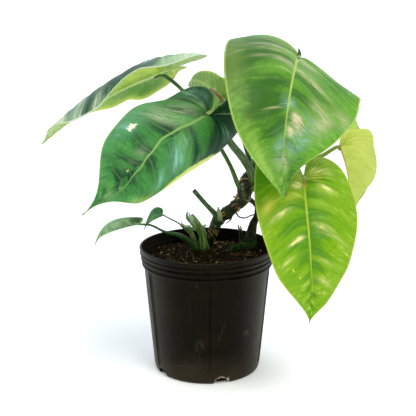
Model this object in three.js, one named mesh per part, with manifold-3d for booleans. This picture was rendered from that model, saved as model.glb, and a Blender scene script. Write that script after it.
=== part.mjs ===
// A philodendron in a nursery pot. Millimetres, +Z up, -Y towards the front.
// The origin is the middle of the pot's underside.
import * as THREE from 'three';
import { mergeVertices } from 'three/addons/utils/BufferGeometryUtils.js';
import Module from 'manifold-3d';

const wasm = await Module();
wasm.setup();

// ---- driving dimensions -------------------------------------------------

const gap = 0.3; // between two pieces that touch

const pot = {
  height: 155,
  rimRadius: 82.5,
  baseRadius: 64.8,
  cornerRadius: 4,
  wall: 1.8,
  floor: 2.4,
  bandDrops: [0, 8.5, 15.7, 22.5], // how far below the rim each band ends
  bandStep: 1.1, // each band stands in from the one above it
  bandRound: 0.5,
  groove: 0.9,
  lipRound: 1,
  segments: 48,
  // Angles are in degrees from the front (-Y), counted towards +X
  flute: { angles: [-62, 3, 75, 147, 219], width: 9, depth: 0.9, bottom: 14, belowBands: 4, segments: 24 },
  drain: { count: 5, first: 15, width: 16, height: 8.5, reach: 9, shoulder: 0.35 },
};

const soil = {
  level: 138,
  mound: { height: 5, x: 15, y: 25, radius: 45 },
  bump: 1.1,
  shoulder: 3, // the height of the edge that stands against the pot
  rings: 7,
  segments: 36,
  chip: { count: 38, size: [5, 12], narrow: [0.35, 0.65], thickness: 3 },
  grain: { count: 12, size: [1.6, 2.8] },
  fromWall: 11, // how far chips and grains stay from the pot
  tilt: 0.35,
  seed: 7,
};

const blade = {
  thickness: 1,
  veinSlope: 0.5, // how far the side veins run towards the tip, as a share of their width
  veinBow: 0.1,
  large: { steps: [3, 5, 7], across: 4 },
  small: { steps: [2, 3, 5], across: 2 },
  smallBelow: 70, // blades shorter than this are split more coarsely
};

// The handles of the heart's three curves, as shares of the lobe's length and the half's width
const heart = { sinusReach: 0.55, sinusGap: 0.05, lobeInner: 0.28, lobeOuter: 0.34, tipReach: 0.3 };

// Each blade hangs from base, where its stalk meets it. The midrib leaves base along heading and
// pitch (degrees), and has turned by turn and drooped by droop at the tip. fold and curl bend the
// cross-section of each half: curl is given at the base and at the tip, and droops where negative.
// edge moves the margin of the half outwards, at even steps from the sinus to the tip.
const leaves = {
  leaf_a: {
    base: [-53.5, 6, 363], heading: 160, pitch: -19, turn: 26,
    droop: 22, droopPower: 0.9, roll: -12, twist: 6,
    length: 178, lobe: 60, lobeFull: 0.54, lobeLift: 22, widest: 0.17, full: 0.64, tip: 0.05,
    left: { width: 65, lobe: 1.1, fold: 45, curl: [-94, -164], edge: [0, 1, 8, -5, 7, 11, 8] },
    right: { width: 61, lobe: 0.32, fold: 24, curl: [-38, -112], edge: [0, -1, -2, 5, -3, 0, -3] },
  },
  leaf_b: {
    base: [0.5, -73.5, 326.5], heading: -122.5, pitch: -9, turn: -14,
    droop: 21, droopPower: 0.8, roll: 38, twist: 23,
    length: 213, lobe: 44, lobeFull: 0.38, lobeLift: -24, widest: 0.14, full: 0.75, tip: 0.01,
    left: { width: 65, lobe: 1.08, fold: 7, curl: [-125, -125], edge: [7, 0, 0, 5, -2, 0, -1] },
    right: { width: 62, lobe: 1, fold: 3, curl: [-58, -4], edge: [-4, -2, 0, 2, -5, 1, 0] },
  },
  leaf_c: {
    base: [103.5, -38.5, 386], heading: -100.5, pitch: -2, turn: -14,
    droop: 107, droopPower: 1, roll: 38, twist: 1,
    length: 202, lobe: 43, lobeFull: 0.46, lobeLift: 9, widest: 0.17, full: 0.66, tip: 0.14,
    left: { width: 89, lobe: 1, fold: 0, curl: [8, -26], edge: [0, 0, 3, -3, 0, 2, -2] },
    right: { width: 82, lobe: 1, fold: 8, curl: [-65, -1], edge: [0, 0, 0, 0, 0, 2, 2] },
  },
  leaf_d: {
    base: [109, -70, 251.3], heading: -86, pitch: -47, turn: 11,
    droop: 49, droopPower: 1, roll: 13, twist: -7,
    length: 165, lobe: 33, lobeFull: 0.43, lobeLift: 11, widest: 0.21, full: 0.59, tip: 0.18,
    left: { width: 63, lobe: 1, fold: 15, curl: [-35, -38], edge: [2, -1, 1, 0, -1, 3, 5] },
    right: { width: 66, lobe: 1, fold: 19, curl: [-17, -8], edge: [0, 0, 3, 0, -2, 2, 1] },
  },
  leaf_e: {
    base: [159, 0, 277], heading: -9, pitch: -69, turn: 0,
    droop: 22, droopPower: 1, roll: 2, twist: -10,
    length: 85, lobe: 20, lobeFull: 0.49, lobeLift: -5, widest: 0.18, full: 0.5, tip: 0.12,
    left: { width: 53, lobe: 1, fold: 54, curl: [-42, -38], edge: [-2, 9, 1, 0, -1, -1, -1] },
    right: { width: 50, lobe: 1, fold: 55, curl: [-4, -54], edge: [0, -1, 6, 0, 1, -1, 0] },
  },
  leaf_f: {
    base: [17.5, 38, 330], heading: 121, pitch: 23, turn: -29,
    droop: 47, droopPower: 1, roll: -99, twist: -2,
    length: 130, lobe: 21, lobeFull: 0.46, lobeLift: 0, widest: 0.23, full: 0.45, tip: 0.11,
    left: { width: 22, lobe: 1, fold: 14, curl: [-5, -12], edge: [0, 0, 5, -3, -4, -3, 0] },
    right: { width: 38, lobe: 1, fold: 10, curl: [-30, -20], edge: [0, 0, 0, 0, 0, 0, 0] },
  },
  young_leaf_a: {
    base: [-81, -21.5, 188], heading: 173, pitch: -11, turn: -5,
    droop: 60, droopPower: 2.3, roll: 22, twist: 13,
    length: 66, lobe: 5, lobeFull: 0.41, lobeLift: 6, widest: 0.3, full: 0.46, tip: 0.16,
    left: { width: 12, lobe: 1, fold: 30, curl: [-9, -16], edge: [0, 0, 0, 0, 0, 0, 0] },
    right: { width: 13.5, lobe: 1, fold: 28, curl: [-49, -16], edge: [0, 0, 0, 0, 0, 0, 0] },
  },
  young_leaf_b: {
    base: [-55, 10.5, 191.5], heading: -135, pitch: 7, turn: 0,
    droop: 60, droopPower: 0.8, roll: 52, twist: 2,
    length: 35, lobe: 2.5, lobeFull: 0.39, lobeLift: 3, widest: 0.2, full: 0.22, tip: 0.05,
    left: { width: 4, lobe: 1, fold: 20, curl: [-40, -20], edge: [0, 0, 0, 0, 0, 0, 0] },
    right: { width: 9.5, lobe: 1, fold: 25, curl: [-27, -17], edge: [0, 0, 0, 0, 0, 0, 0] },
  },
};

// Each route is a list of [x, y, z, radius], from the root end to the free end.
const stem = {
  sides: 10,
  steps: 46,
  route: [
    [-9, 37, 114, 5], [-4.5, 34, 136, 6.3], [-1.5, 32, 144, 6.4], [7.5, 29, 163, 6.3], [11, 27, 174, 7.2],
    [16, 26, 182, 6.6], [24.5, 24, 189, 7.6], [34, 21, 198, 7], [44, 18, 208, 8.4], [47, 15, 220, 9],
    [51, 12, 233, 8.6], [54, 10.5, 243, 6.8], [57, 9, 252, 5.4],
  ],
  scars: { at: [0.37, 0.5, 0.61, 0.7, 0.88], height: 0.8, spread: 0.011 },
};

const roots = {
  prop_root: {
    sides: 8, steps: 14,
    route: [
      [49, 35, 114, 5], [52, 37, 137, 8.2], [54, 38, 151, 7.2], [57.5, 35, 171, 5.2], [62, 30, 186, 3.4],
      [60, 25, 198, 2.6], [51, 18, 209, 3],
    ],
  },
  aerial_root_long: {
    sides: 6, steps: 12,
    route: [
      [35, 20, 193, 1.2], [37, 15, 189, 1], [40, 10.5, 187, 0.9], [46, 9, 186.5, 0.8], [53, 14, 188, 0.8],
      [62, 30, 186, 1],
    ],
  },
  aerial_root_short: {
    sides: 6, steps: 6,
    route: [[31, 22, 188, 1.1], [29, 15, 183, 0.9], [23, 8.5, 179.5, 0.5]],
  },
};

const stalks = {
  leaf_a: {
    root: [
      [44, 15, 219, 3.6], [38, 10, 227, 3.1], [29, 9, 249, 2.6], [19, 9, 268, 2.5], [-4.5, 8, 306, 2.4],
      [-29.5, 7, 343, 2.3],
    ],
    end: 2.2,
  },
  leaf_b: {
    root: [
      [52, 12, 230, 6], [55, 3, 238, 5.4], [51.5, -4, 249, 4.9], [41, -19, 268, 4.6], [30, -36, 284, 4.3],
      [16, -56, 306, 3.6],
    ],
    end: 3,
  },
  leaf_c: {
    root: [
      [56.5, 9, 249, 5.2], [60, 6, 263, 5], [66, -1, 281, 4.6], [77, -13, 316, 4.2], [90, -27, 356, 3.6],
    ],
    end: 3.1,
  },
  leaf_d: {
    root: [[53, 13, 222, 4.8], [65, 0, 231, 4.4], [82, -24, 242, 3.8], [96, -44, 249, 3.3]],
    end: 2.9,
  },
  leaf_e: {
    root: [[53, 14, 229, 4], [67, 18, 237, 3.5], [94, 14, 247, 3], [118, 9, 255, 2.7], [137, 5, 264, 2.5]],
    end: 2.2,
  },
  leaf_f: {
    root: [[55, 12, 240, 3.6], [52, 18, 254, 3.3], [46, 24, 275, 2.8], [37, 30, 303, 2.5]],
    end: 2.1,
  },
  young_leaf_a: {
    root: [
      [-9, 28, 128, 4.6], [-14, 24, 144, 4.3], [-21.5, 20, 153, 3.8], [-33, 12, 163, 3], [-51, -2, 172, 1.6],
      [-68, -15, 184, 1.3],
    ],
    end: 1.1,
  },
  young_leaf_b: {
    root: [[-23, 20, 165, 1.4], [-34, 17, 177, 1], [-45, 14, 184, 0.9]],
    end: 0.8,
  },
};

const stubs = {
  cut_stalk: {
    sides: 8, steps: 12,
    route: [
      [17, 24, 178, 5], [12, 17, 187, 3.8], [5, 13, 196, 2.9], [-2.5, 9, 205, 2.7], [-15.5, 3, 222, 2.7],
    ],
  },
  bud: {
    sides: 8, steps: 8,
    route: [[14, 20, 176, 2.4], [14.5, 15, 184, 2.9], [14.5, 13.5, 191, 2.2], [13.5, 13, 199, 0.5]],
  },
  broken_stalk_wide: {
    sides: 8, steps: 10,
    route: [
      [-2, 23, 124, 4.6], [-3.5, 26, 140, 5.6], [-5.5, 27, 150, 5.9], [-11, 26, 164, 5.4], [-18, 24, 180, 4],
      [-24.5, 22, 191, 1.6],
    ],
  },
  broken_stalk_narrow: {
    sides: 8, steps: 8,
    route: [
      [-12, 39, 122, 2.6], [-14, 36, 140, 3.3], [-17, 32, 150, 3.3], [-21, 25, 161, 2.8], [-28, 19, 171, 1.8],
    ],
  },
  dried_stub: {
    sides: 7, steps: 5,
    route: [[44, 52, 124, 2.2], [44, 51, 142, 2.4], [43.5, 49, 152, 2.4], [41, 46, 165, 1.4]],
  },
  mossy_stub: {
    sides: 8, steps: 8,
    route: [
      [28, 19, 143, 2.4], [34, 23, 144, 3.2], [43, 28, 145, 3.4], [53, 28, 146, 3.2], [61, 33, 147, 2.6],
    ],
  },
};

const finishes = {
  potPlastic: { color: 0x1d1b1a, roughness: 0.5 },
  soilMix: { color: 0x2e2118, roughness: 0.95 },
  bark: { color: 0x3f3a25, roughness: 0.8 },
  root: { color: 0x2f2a1c, roughness: 0.85 },
  darkBlade: { color: 0x2f6b3a, roughness: 0.35 },
  midBlade: { color: 0x5c9a3c, roughness: 0.4 },
  limeBlade: { color: 0x86b52c, roughness: 0.4 },
  paleBlade: { color: 0x9cc252, roughness: 0.5 },
  stalk: { color: 0x4c6b30, roughness: 0.5 },
  redStalk: { color: 0x7a4a2c, roughness: 0.5 },
  dryStub: { color: 0x8d7a4a, roughness: 0.9 },
  moss: { color: 0x3b6a2c, roughness: 0.95 },
};

const bladeFinish = {
  leaf_a: finishes.midBlade,
  leaf_b: finishes.darkBlade,
  leaf_c: finishes.midBlade,
  leaf_d: finishes.limeBlade,
  leaf_e: finishes.paleBlade,
  leaf_f: finishes.paleBlade,
  young_leaf_a: finishes.darkBlade,
  young_leaf_b: finishes.darkBlade,
};
const stalkFinish = { leaf_f: finishes.redStalk };
const stubFinish = { mossy_stub: finishes.moss, dried_stub: finishes.dryStub };

// The limbs that the soil has holes for
const rootedInSoil = [
  'stem', 'prop_root', 'dried_stub', 'mossy_stub', 'broken_stalk_wide', 'broken_stalk_narrow',
  'young_leaf_a_stalk',
];

// ---- helpers -------------------------------------------------------------

const radians = THREE.MathUtils.degToRad;

function solidOf(geometry) {
  geometry.deleteAttribute('normal');
  geometry.deleteAttribute('uv');
  const welded = mergeVertices(geometry, 1e-4);
  return new wasm.Manifold(new wasm.Mesh({
    numProp: 3,
    vertProperties: new Float32Array(welded.attributes.position.array),
    triVerts: new Uint32Array(welded.index.array),
  }));
}

function geometryOf(solid) {
  const mesh = solid.getMesh();
  const geometry = new THREE.BufferGeometry();
  geometry.setAttribute('position', new THREE.BufferAttribute(mesh.vertProperties, 3));
  geometry.setIndex(new THREE.BufferAttribute(mesh.triVerts, 1));
  geometry.computeVertexNormals();
  return geometry;
}

function meshGeometry(points, faces) {
  const geometry = new THREE.BufferGeometry();
  const numbers = points.flatMap((point) => point.toArray());
  geometry.setAttribute('position', new THREE.Float32BufferAttribute(numbers, 3));
  geometry.setIndex(faces.flat());
  return geometry;
}

function largestPiece(solid) {
  const pieces = solid.decompose();
  return pieces.reduce((best, piece) => (piece.volume() > best.volume() ? piece : best));
}

// A repeatable random number between 0 and 1
function seededRandom(seed) {
  let state = seed;
  return () => {
    state = (state * 16807) % 2147483647;
    return state / 2147483647;
  };
}

// ---- stems, stalks and roots ---------------------------------------------

// A closed round limb through the route, whose radius follows the route's fourth numbers
function limb({ route, sides, steps, scars }, grow = 0) {
  const path = new THREE.CatmullRomCurve3(route.map(([x, y, z]) => new THREE.Vector3(x, y, z)));
  const girth = new THREE.CatmullRomCurve3(route.map((point) => new THREE.Vector3(point[3], 0, 0)));
  const frames = path.computeFrenetFrames(steps, false);
  const points = [];
  const faces = [];
  for (let i = 0; i <= steps; i++) {
    const u = i / steps;
    const centre = path.getPointAt(u);
    let radius = girth.getPoint(path.getUtoTmapping(u)).x + grow;
    for (const at of scars?.at ?? []) {
      radius += scars.height * Math.exp(-(((u - at) / scars.spread) ** 2));
    }
    for (let j = 0; j < sides; j++) {
      const angle = (2 * Math.PI * j) / sides;
      points.push(centre.clone()
        .addScaledVector(frames.normals[i], radius * Math.cos(angle))
        .addScaledVector(frames.binormals[i], radius * Math.sin(angle)));
    }
  }
  for (let i = 0; i < steps; i++) {
    for (let j = 0; j < sides; j++) {
      const a = i * sides + j;
      const b = i * sides + ((j + 1) % sides);
      faces.push([a, b, b + sides], [a, b + sides, a + sides]);
    }
  }
  const first = points.push(path.getPointAt(0).addScaledVector(frames.tangents[0], -grow)) - 1;
  const last = points.push(path.getPointAt(1).addScaledVector(frames.tangents[steps], grow)) - 1;
  for (let j = 0; j < sides; j++) {
    const next = (j + 1) % sides;
    faces.push([first, next, j], [last, steps * sides + j, steps * sides + next]);
  }
  return solidOf(meshGeometry(points, faces));
}

// ---- blades ----------------------------------------------------------------

// The midrib as a function of the distance along it, with its frame. Behind the base, where the
// lobes are, it runs straight back, lifted by lobeLift at their ends.
function midribOf(leaf) {
  const steps = 80;
  const directionAt = (s) => {
    const k = s / leaf.length;
    const turned = k > 0 ? leaf.turn * k ** 1.5 : 0;
    const drooped = k > 0 ? leaf.droop * k ** leaf.droopPower : (leaf.lobeLift * s) / leaf.lobe;
    const heading = radians(leaf.heading + turned);
    const pitch = radians(leaf.pitch - drooped);
    const outwards = new THREE.Vector3(Math.cos(heading), Math.sin(heading), 0);
    const upwards = new THREE.Vector3(0, 0, 1);
    return {
      along: outwards.clone().multiplyScalar(Math.cos(pitch)).addScaledVector(upwards, Math.sin(pitch)),
      up: upwards.multiplyScalar(Math.cos(pitch)).addScaledVector(outwards, -Math.sin(pitch)),
    };
  };
  const walk = (reach) => {
    const point = new THREE.Vector3(...leaf.base);
    const line = [{ s: 0, point: point.clone() }];
    for (let i = 0; i < steps; i++) {
      const middle = (reach * (i + 0.5)) / steps;
      point.addScaledVector(directionAt(middle).along, reach / steps);
      line.push({ s: (reach * (i + 1)) / steps, point: point.clone() });
    }
    return line;
  };
  const furthestLobe = leaf.lobe * Math.max(leaf.left.lobe, leaf.right.lobe) + 10;
  const rows = [...walk(-furthestLobe).reverse(), ...walk(leaf.length).slice(1)];
  return (s) => {
    let i = 0;
    while (i < rows.length - 2 && rows[i + 1].s < s) i++;
    const share = (s - rows[i].s) / (rows[i + 1].s - rows[i].s);
    const centre = rows[i].point.clone().lerp(rows[i + 1].point, share);
    const { along, up } = directionAt(s);
    const roll = radians(leaf.roll + leaf.twist * THREE.MathUtils.clamp(s / leaf.length, 0, 1));
    const side = up.clone().cross(along);
    return {
      centre,
      up: up.clone().multiplyScalar(Math.cos(roll)).addScaledVector(side, Math.sin(roll)),
      side: side.multiplyScalar(Math.cos(roll)).addScaledVector(up, -Math.sin(roll)),
    };
  };
}

function splitOf(leaf) {
  return leaf.length < blade.smallBelow ? blade.small : blade.large;
}

// Half of the flat heart shape, from the sinus round the lobe to the tip, as [along, out] pairs
function flatOutline(leaf, half, grow) {
  const lobe = leaf.lobe * half.lobe;
  const wide = leaf.widest * leaf.length;
  const rest = leaf.length - wide;
  const at = (x, share) => new THREE.Vector2(x, share * half.width);
  const [sinus, lobeEnd, widest, tip] = [at(0, 0), at(-lobe, leaf.lobeFull), at(wide, 1), at(leaf.length, 0)];
  const curves = [
    [
      sinus, at(-heart.sinusReach * lobe, heart.sinusGap), at(-lobe, leaf.lobeFull - heart.lobeInner),
      lobeEnd,
    ],
    [lobeEnd, at(-lobe, leaf.lobeFull + heart.lobeOuter), at((wide - lobe) / 2, 1), widest],
    [widest, at(wide + leaf.full * rest, 1), at(leaf.length - heart.tipReach * rest, leaf.tip), tip],
  ];
  const line = curves.flatMap((curve, i) => {
    const stretch = new THREE.CubicBezierCurve(...curve).getPoints(splitOf(leaf).steps[i]);
    return i === 0 ? stretch : stretch.slice(1);
  });
  return line.map((point, i) => {
    if (i === 0 || i === line.length - 1) return point;
    const along = line[i + 1].clone().sub(line[i - 1]).normalize();
    const shift = edgeShift(half.edge, i / (line.length - 1)) + grow;
    return new THREE.Vector2(point.x - along.y * shift, Math.max(point.y + along.x * shift, 0));
  });
}

// The margin's shift at a share of the way from sinus to tip, eased between the listed values
function edgeShift(edge, share) {
  const values = [0, ...edge, 0];
  const place = share * (values.length - 1);
  const i = Math.min(Math.floor(place), values.length - 2);
  const ease = (1 - Math.cos(Math.PI * (place - i))) / 2;
  return values[i] + (values[i + 1] - values[i]) * ease;
}

// A point of the blade at s along and t out from the midrib, on one half
function bladePoint(leaf, midrib, half, sign, s, t) {
  const { centre, up, side } = midrib(s);
  const share = THREE.MathUtils.clamp(s / leaf.length, 0, 1);
  const fold = radians(half.fold);
  const curl = radians(half.curl[0] + (half.curl[1] - half.curl[0]) * share) || 0.001;
  const x = t / half.width;
  const out = (half.width * (Math.sin(fold + curl * x) - Math.sin(fold))) / curl;
  const rise = (-half.width * (Math.cos(fold + curl * x) - Math.cos(fold))) / curl;
  return centre.addScaledVector(side, sign * out).addScaledVector(up, rise);
}

// A blade as one closed sheet. Veins leave the shared midrib at a slant and end on the margin, and
// both faces are split into the same triangles.
function bladeSolid(leaf, grow = 0) {
  const midrib = midribOf(leaf);
  const halves = [[leaf.left, 1], [leaf.right, -1]];
  const outlines = halves.map(([half]) => flatOutline(leaf, half, grow));
  const rows = outlines[0].length;
  const { across } = splitOf(leaf);
  const veinStart = [];
  for (let i = 0; i < rows; i++) {
    const middle = outlines[0][i].clone().add(outlines[1][i]).divideScalar(2);
    const start = THREE.MathUtils.clamp(middle.x - blade.veinSlope * middle.y, 0, leaf.length);
    veinStart.push(Math.max(start, veinStart[i - 1] ?? 0));
  }
  const points = [];
  const found = new Map();
  const vertex = (i, j, h) => {
    const [half, sign] = halves[h];
    const edge = outlines[h][i];
    const b = j / across;
    const bow = blade.veinBow * 4 * b * (1 - b) * edge.y;
    const s = veinStart[i] + (edge.x - veinStart[i]) * b - bow;
    const t = edge.y * b;
    const key = `${t < 1e-6 ? 0 : sign} ${s.toFixed(3)} ${t.toFixed(3)}`;
    if (!found.has(key)) {
      found.set(key, points.push(bladePoint(leaf, midrib, half, sign, s, t)) - 1);
    }
    return found.get(key);
  };
  const faces = [];
  for (const h of [0, 1]) {
    for (let i = 1; i < rows - 1; i++) {
      for (let j = 0; j < across; j++) {
        const [a, b] = [vertex(i, j, h), vertex(i, j + 1, h)];
        const [d, c] = [vertex(i + 1, j, h), vertex(i + 1, j + 1, h)];
        const pair = h === 0 ? [[a, c, b], [a, d, c]] : [[a, b, c], [a, c, d]];
        faces.push(...pair.filter((corners) => new Set(corners).size === 3));
      }
    }
  }
  return solidOf(thickened(points, faces, blade.thickness / 2 + grow));
}

// A sheet given a thickness of twice half, closed round its margin
function thickened(points, faces, half) {
  const normals = points.map(() => new THREE.Vector3());
  const edges = new Map();
  for (const face of faces) {
    const [p, q, r] = face.map((i) => points[i]);
    const normal = q.clone().sub(p).cross(r.clone().sub(p)).normalize();
    face.forEach((i, k) => {
      const before = points[face[(k + 2) % 3]].clone().sub(points[i]);
      const after = points[face[(k + 1) % 3]].clone().sub(points[i]);
      normals[i].addScaledVector(normal, before.angleTo(after));
      edges.set(`${i} ${face[(k + 1) % 3]}`, [i, face[(k + 1) % 3]]);
    });
  }
  const count = points.length;
  const top = points.map((point, i) => point.clone().addScaledVector(normals[i].normalize(), half));
  const bottom = points.map((point, i) => point.clone().addScaledVector(normals[i], -half));
  const closed = faces.map((face) => [...face]);
  closed.push(...faces.map(([a, b, c]) => [a + count, c + count, b + count]));
  for (const [a, b] of edges.values()) {
    if (edges.has(`${b} ${a}`)) continue;
    closed.push([b, a, a + count], [b, a + count, b + count]);
  }
  return meshGeometry([...top, ...bottom], closed);
}

// ---- pot and soil ------------------------------------------------------------

function wallRadius(z) {
  return pot.baseRadius + ((pot.rimRadius - 3 * pot.bandStep - pot.baseRadius) * z) / pot.height;
}

function innerRadius(z) {
  return wallRadius(z) - pot.wall;
}

function potSolid() {
  const corner = new THREE.Path().absarc(
    pot.baseRadius - pot.cornerRadius, pot.cornerRadius, pot.cornerRadius, -Math.PI / 2, 0);
  const profile = [new THREE.Vector2(0, 0), ...corner.getPoints(4)];
  for (let band = 3; band > 0; band--) {
    const low = pot.height - pot.bandDrops[band];
    const high = pot.height - pot.bandDrops[band - 1];
    const radius = pot.rimRadius - (band - 1) * pot.bandStep;
    profile.push(
      new THREE.Vector2(wallRadius(low), low),
      new THREE.Vector2(radius - pot.bandRound, low + pot.groove),
      new THREE.Vector2(radius, band === 1 ? high - pot.lipRound : high));
  }
  profile.push(
    new THREE.Vector2(pot.rimRadius - pot.lipRound, pot.height),
    new THREE.Vector2(innerRadius(pot.height), pot.height),
    new THREE.Vector2(innerRadius(pot.floor), pot.floor),
    new THREE.Vector2(0, pot.floor));
  const shell = new THREE.LatheGeometry(profile, pot.segments);
  shell.rotateX(Math.PI / 2);
  return solidOf(shell).subtract(wasm.Manifold.union([...flutes(), ...drains()]));
}

// Turns a cutter made at the front of the pot (-Y) to an angle counted towards +X
function roundThePot(geometry, degrees) {
  return solidOf(geometry.rotateZ(radians(degrees)));
}

function flutes() {
  const { angles, width, depth, bottom, belowBands, segments } = pot.flute;
  const reach = (width / 2) ** 2 / (2 * depth) + depth / 2;
  const top = pot.height - pot.bandDrops.at(-1) - belowBands;
  const middle = (bottom + top) / 2;
  const lean = Math.atan2(wallRadius(top) - wallRadius(bottom), top - bottom);
  return angles.map((angle) => {
    const cutter = new THREE.CylinderGeometry(reach, reach, top - bottom, segments);
    cutter.rotateY(Math.PI / segments).rotateX(Math.PI / 2 + lean);
    cutter.translate(0, -(wallRadius(middle) + reach - depth), middle);
    return roundThePot(cutter, angle);
  });
}

function drains() {
  const { count, first, width, height, reach, shoulder } = pot.drain;
  const arch = new THREE.Shape();
  arch.moveTo(-width / 2, -1);
  arch.lineTo(width / 2, -1);
  arch.absellipse(0, height * shoulder, width / 2, height * (1 - shoulder), 0, Math.PI, false);
  arch.closePath();
  const outwards = { depth: reach + pot.cornerRadius, bevelEnabled: false, curveSegments: 8 };
  return Array.from({ length: count }, (_, i) => {
    const cutter = new THREE.ExtrudeGeometry(arch, outwards);
    cutter.rotateX(Math.PI / 2);
    cutter.translate(0, -(pot.baseRadius - reach), 0);
    return roundThePot(cutter, first + (360 / count) * i);
  });
}

function soilHeight(x, y) {
  const { height, x: mx, y: my, radius } = soil.mound;
  const mound = height * Math.exp(-(((x - mx) ** 2 + (y - my) ** 2) / radius ** 2));
  const bumps = Math.sin(x * 0.21 + 1) * Math.cos(y * 0.17) + 0.6 * Math.sin(x * 0.43 - y * 0.31);
  return soil.level + mound + soil.bump * bumps;
}

function soilBody() {
  const points = [];
  const faces = [];
  const ring = (radius, height) => {
    const start = points.length;
    for (let j = 0; j < soil.segments; j++) {
      const angle = (2 * Math.PI * j) / soil.segments;
      const x = radius * Math.cos(angle);
      const y = radius * Math.sin(angle);
      points.push(new THREE.Vector3(x, y, height ?? soilHeight(x, y)));
    }
    return start;
  };
  const join = (from, to) => {
    for (let j = 0; j < soil.segments; j++) {
      const next = (j + 1) % soil.segments;
      faces.push([from + j, to + j, to + next], [from + j, to + next, from + next]);
    }
  };
  // The ring of flats inside the pot wall is smaller than the circle by cos(pi / segments)
  const clearance = gap / Math.cos(Math.PI / pot.segments) + 0.2;
  const shoulderHeight = soil.level - soil.shoulder;
  const bottomHeight = pot.floor + gap;
  const topRadius = innerRadius(shoulderHeight) - clearance;
  const middle = points.push(new THREE.Vector3(0, 0, soilHeight(0, 0))) - 1;
  const rings = Array.from({ length: soil.rings }, (_, i) => ring((topRadius * (i + 1)) / soil.rings));
  rings.push(ring(topRadius, shoulderHeight));
  rings.push(ring(innerRadius(bottomHeight) - clearance, bottomHeight));
  rings.slice(1).forEach((start, i) => join(rings[i], start));
  const under = points.push(new THREE.Vector3(0, 0, bottomHeight)) - 1;
  for (let j = 0; j < soil.segments; j++) {
    const next = (j + 1) % soil.segments;
    faces.push([middle, rings[0] + j, rings[0] + next], [under, rings.at(-1) + next, rings.at(-1) + j]);
  }
  return solidOf(meshGeometry(points, faces));
}

// Bark chips and pale grains scattered over the soil, each sunk about half way in
function soilChips() {
  const { chip, grain } = soil;
  const random = seededRandom(soil.seed);
  const between = ([low, high]) => low + (high - low) * random();
  const furthest = innerRadius(soil.level) - soil.fromWall;
  return Array.from({ length: chip.count + grain.count }, (_, i) => {
    const size = between(chip.size);
    const piece = i < chip.count
      ? new THREE.BoxGeometry(size, size * between(chip.narrow), chip.thickness)
      : new THREE.OctahedronGeometry(between(grain.size));
    const radius = furthest * Math.sqrt(random());
    const angle = 2 * Math.PI * random();
    const tilts = [between([-soil.tilt, soil.tilt]), between([-soil.tilt, soil.tilt])];
    piece.rotateX(tilts[0]).rotateY(tilts[1]).rotateZ(2 * Math.PI * random());
    const x = radius * Math.cos(angle);
    const y = radius * Math.sin(angle);
    return solidOf(piece.translate(x, y, soilHeight(x, y)));
  });
}

// ---- assembly ------------------------------------------------------------------

const plant = new THREE.Group();

function add(name, solid, finish) {
  const material = new THREE.MeshStandardMaterial({ metalness: 0, ...finish });
  const mesh = new THREE.Mesh(geometryOf(solid), material);
  mesh.name = name;
  plant.add(mesh);
}

// Cuts a piece back to a gap from the pieces it grows out of or lies on, and keeps its main part.
// Those pieces are given grown by the gap.
function seated(solid, grownNeighbours) {
  return largestPiece(solid.subtract(wasm.Manifold.union(grownNeighbours)));
}

// The route of a leaf's stalk: its own points, then under the first stretch of the midrib
function stalkLimb(name) {
  const { root, end } = stalks[name];
  const midrib = midribOf(leaves[name]);
  const under = (s, radius) => {
    const { centre, up } = midrib(s);
    return [...centre.addScaledVector(up, -(radius + blade.thickness / 2 + gap)).toArray(), radius];
  };
  const reach = leaves[name].length * 0.06;
  return { sides: 8, steps: 11, route: [...root, under(0, end), under(reach, end * 0.8)] };
}

add('pot', potSolid(), finishes.potPlastic);
add('stem', limb(stem), finishes.bark);

const grown = { stem: limb(stem, gap) };

function addLimb(name, spec, finish, blades = []) {
  add(name, seated(limb(spec), [...Object.values(grown), ...blades]), finish);
  grown[name] = limb(spec, gap);
}

for (const [name, root] of Object.entries(roots)) {
  addLimb(name, root, finishes.root);
}

for (const [name, stub] of Object.entries(stubs)) {
  addLimb(name, stub, stubFinish[name] ?? finishes.stalk);
}

for (const [name, leaf] of Object.entries(leaves)) {
  add(`${name}_blade`, bladeSolid(leaf), bladeFinish[name]);
  addLimb(`${name}_stalk`, stalkLimb(name), stalkFinish[name] ?? finishes.stalk, [bladeSolid(leaf, gap)]);
}

const loose = soilBody().add(wasm.Manifold.union(soilChips()));
add('soil', seated(loose, rootedInSoil.map((name) => grown[name])), finishes.soilMix);

export default plant;
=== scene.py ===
import math
import random

import bpy
import bmesh
import numpy as np
from mathutils import Euler, Matrix, Vector, noise


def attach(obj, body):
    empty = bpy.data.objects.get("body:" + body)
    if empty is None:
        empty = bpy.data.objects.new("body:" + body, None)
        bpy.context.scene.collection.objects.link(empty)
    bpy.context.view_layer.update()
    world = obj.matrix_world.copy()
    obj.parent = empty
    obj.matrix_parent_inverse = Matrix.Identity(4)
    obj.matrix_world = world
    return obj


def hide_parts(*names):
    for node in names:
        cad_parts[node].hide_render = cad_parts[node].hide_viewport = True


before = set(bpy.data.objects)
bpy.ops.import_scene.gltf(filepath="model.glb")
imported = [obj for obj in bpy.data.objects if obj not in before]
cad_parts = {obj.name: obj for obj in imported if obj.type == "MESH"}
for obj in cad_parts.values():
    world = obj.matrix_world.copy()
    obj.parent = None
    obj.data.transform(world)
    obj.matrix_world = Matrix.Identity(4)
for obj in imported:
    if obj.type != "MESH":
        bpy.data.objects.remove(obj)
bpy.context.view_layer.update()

mm = 0.001
print("frame loaded:", len(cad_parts), "nodes")

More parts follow.
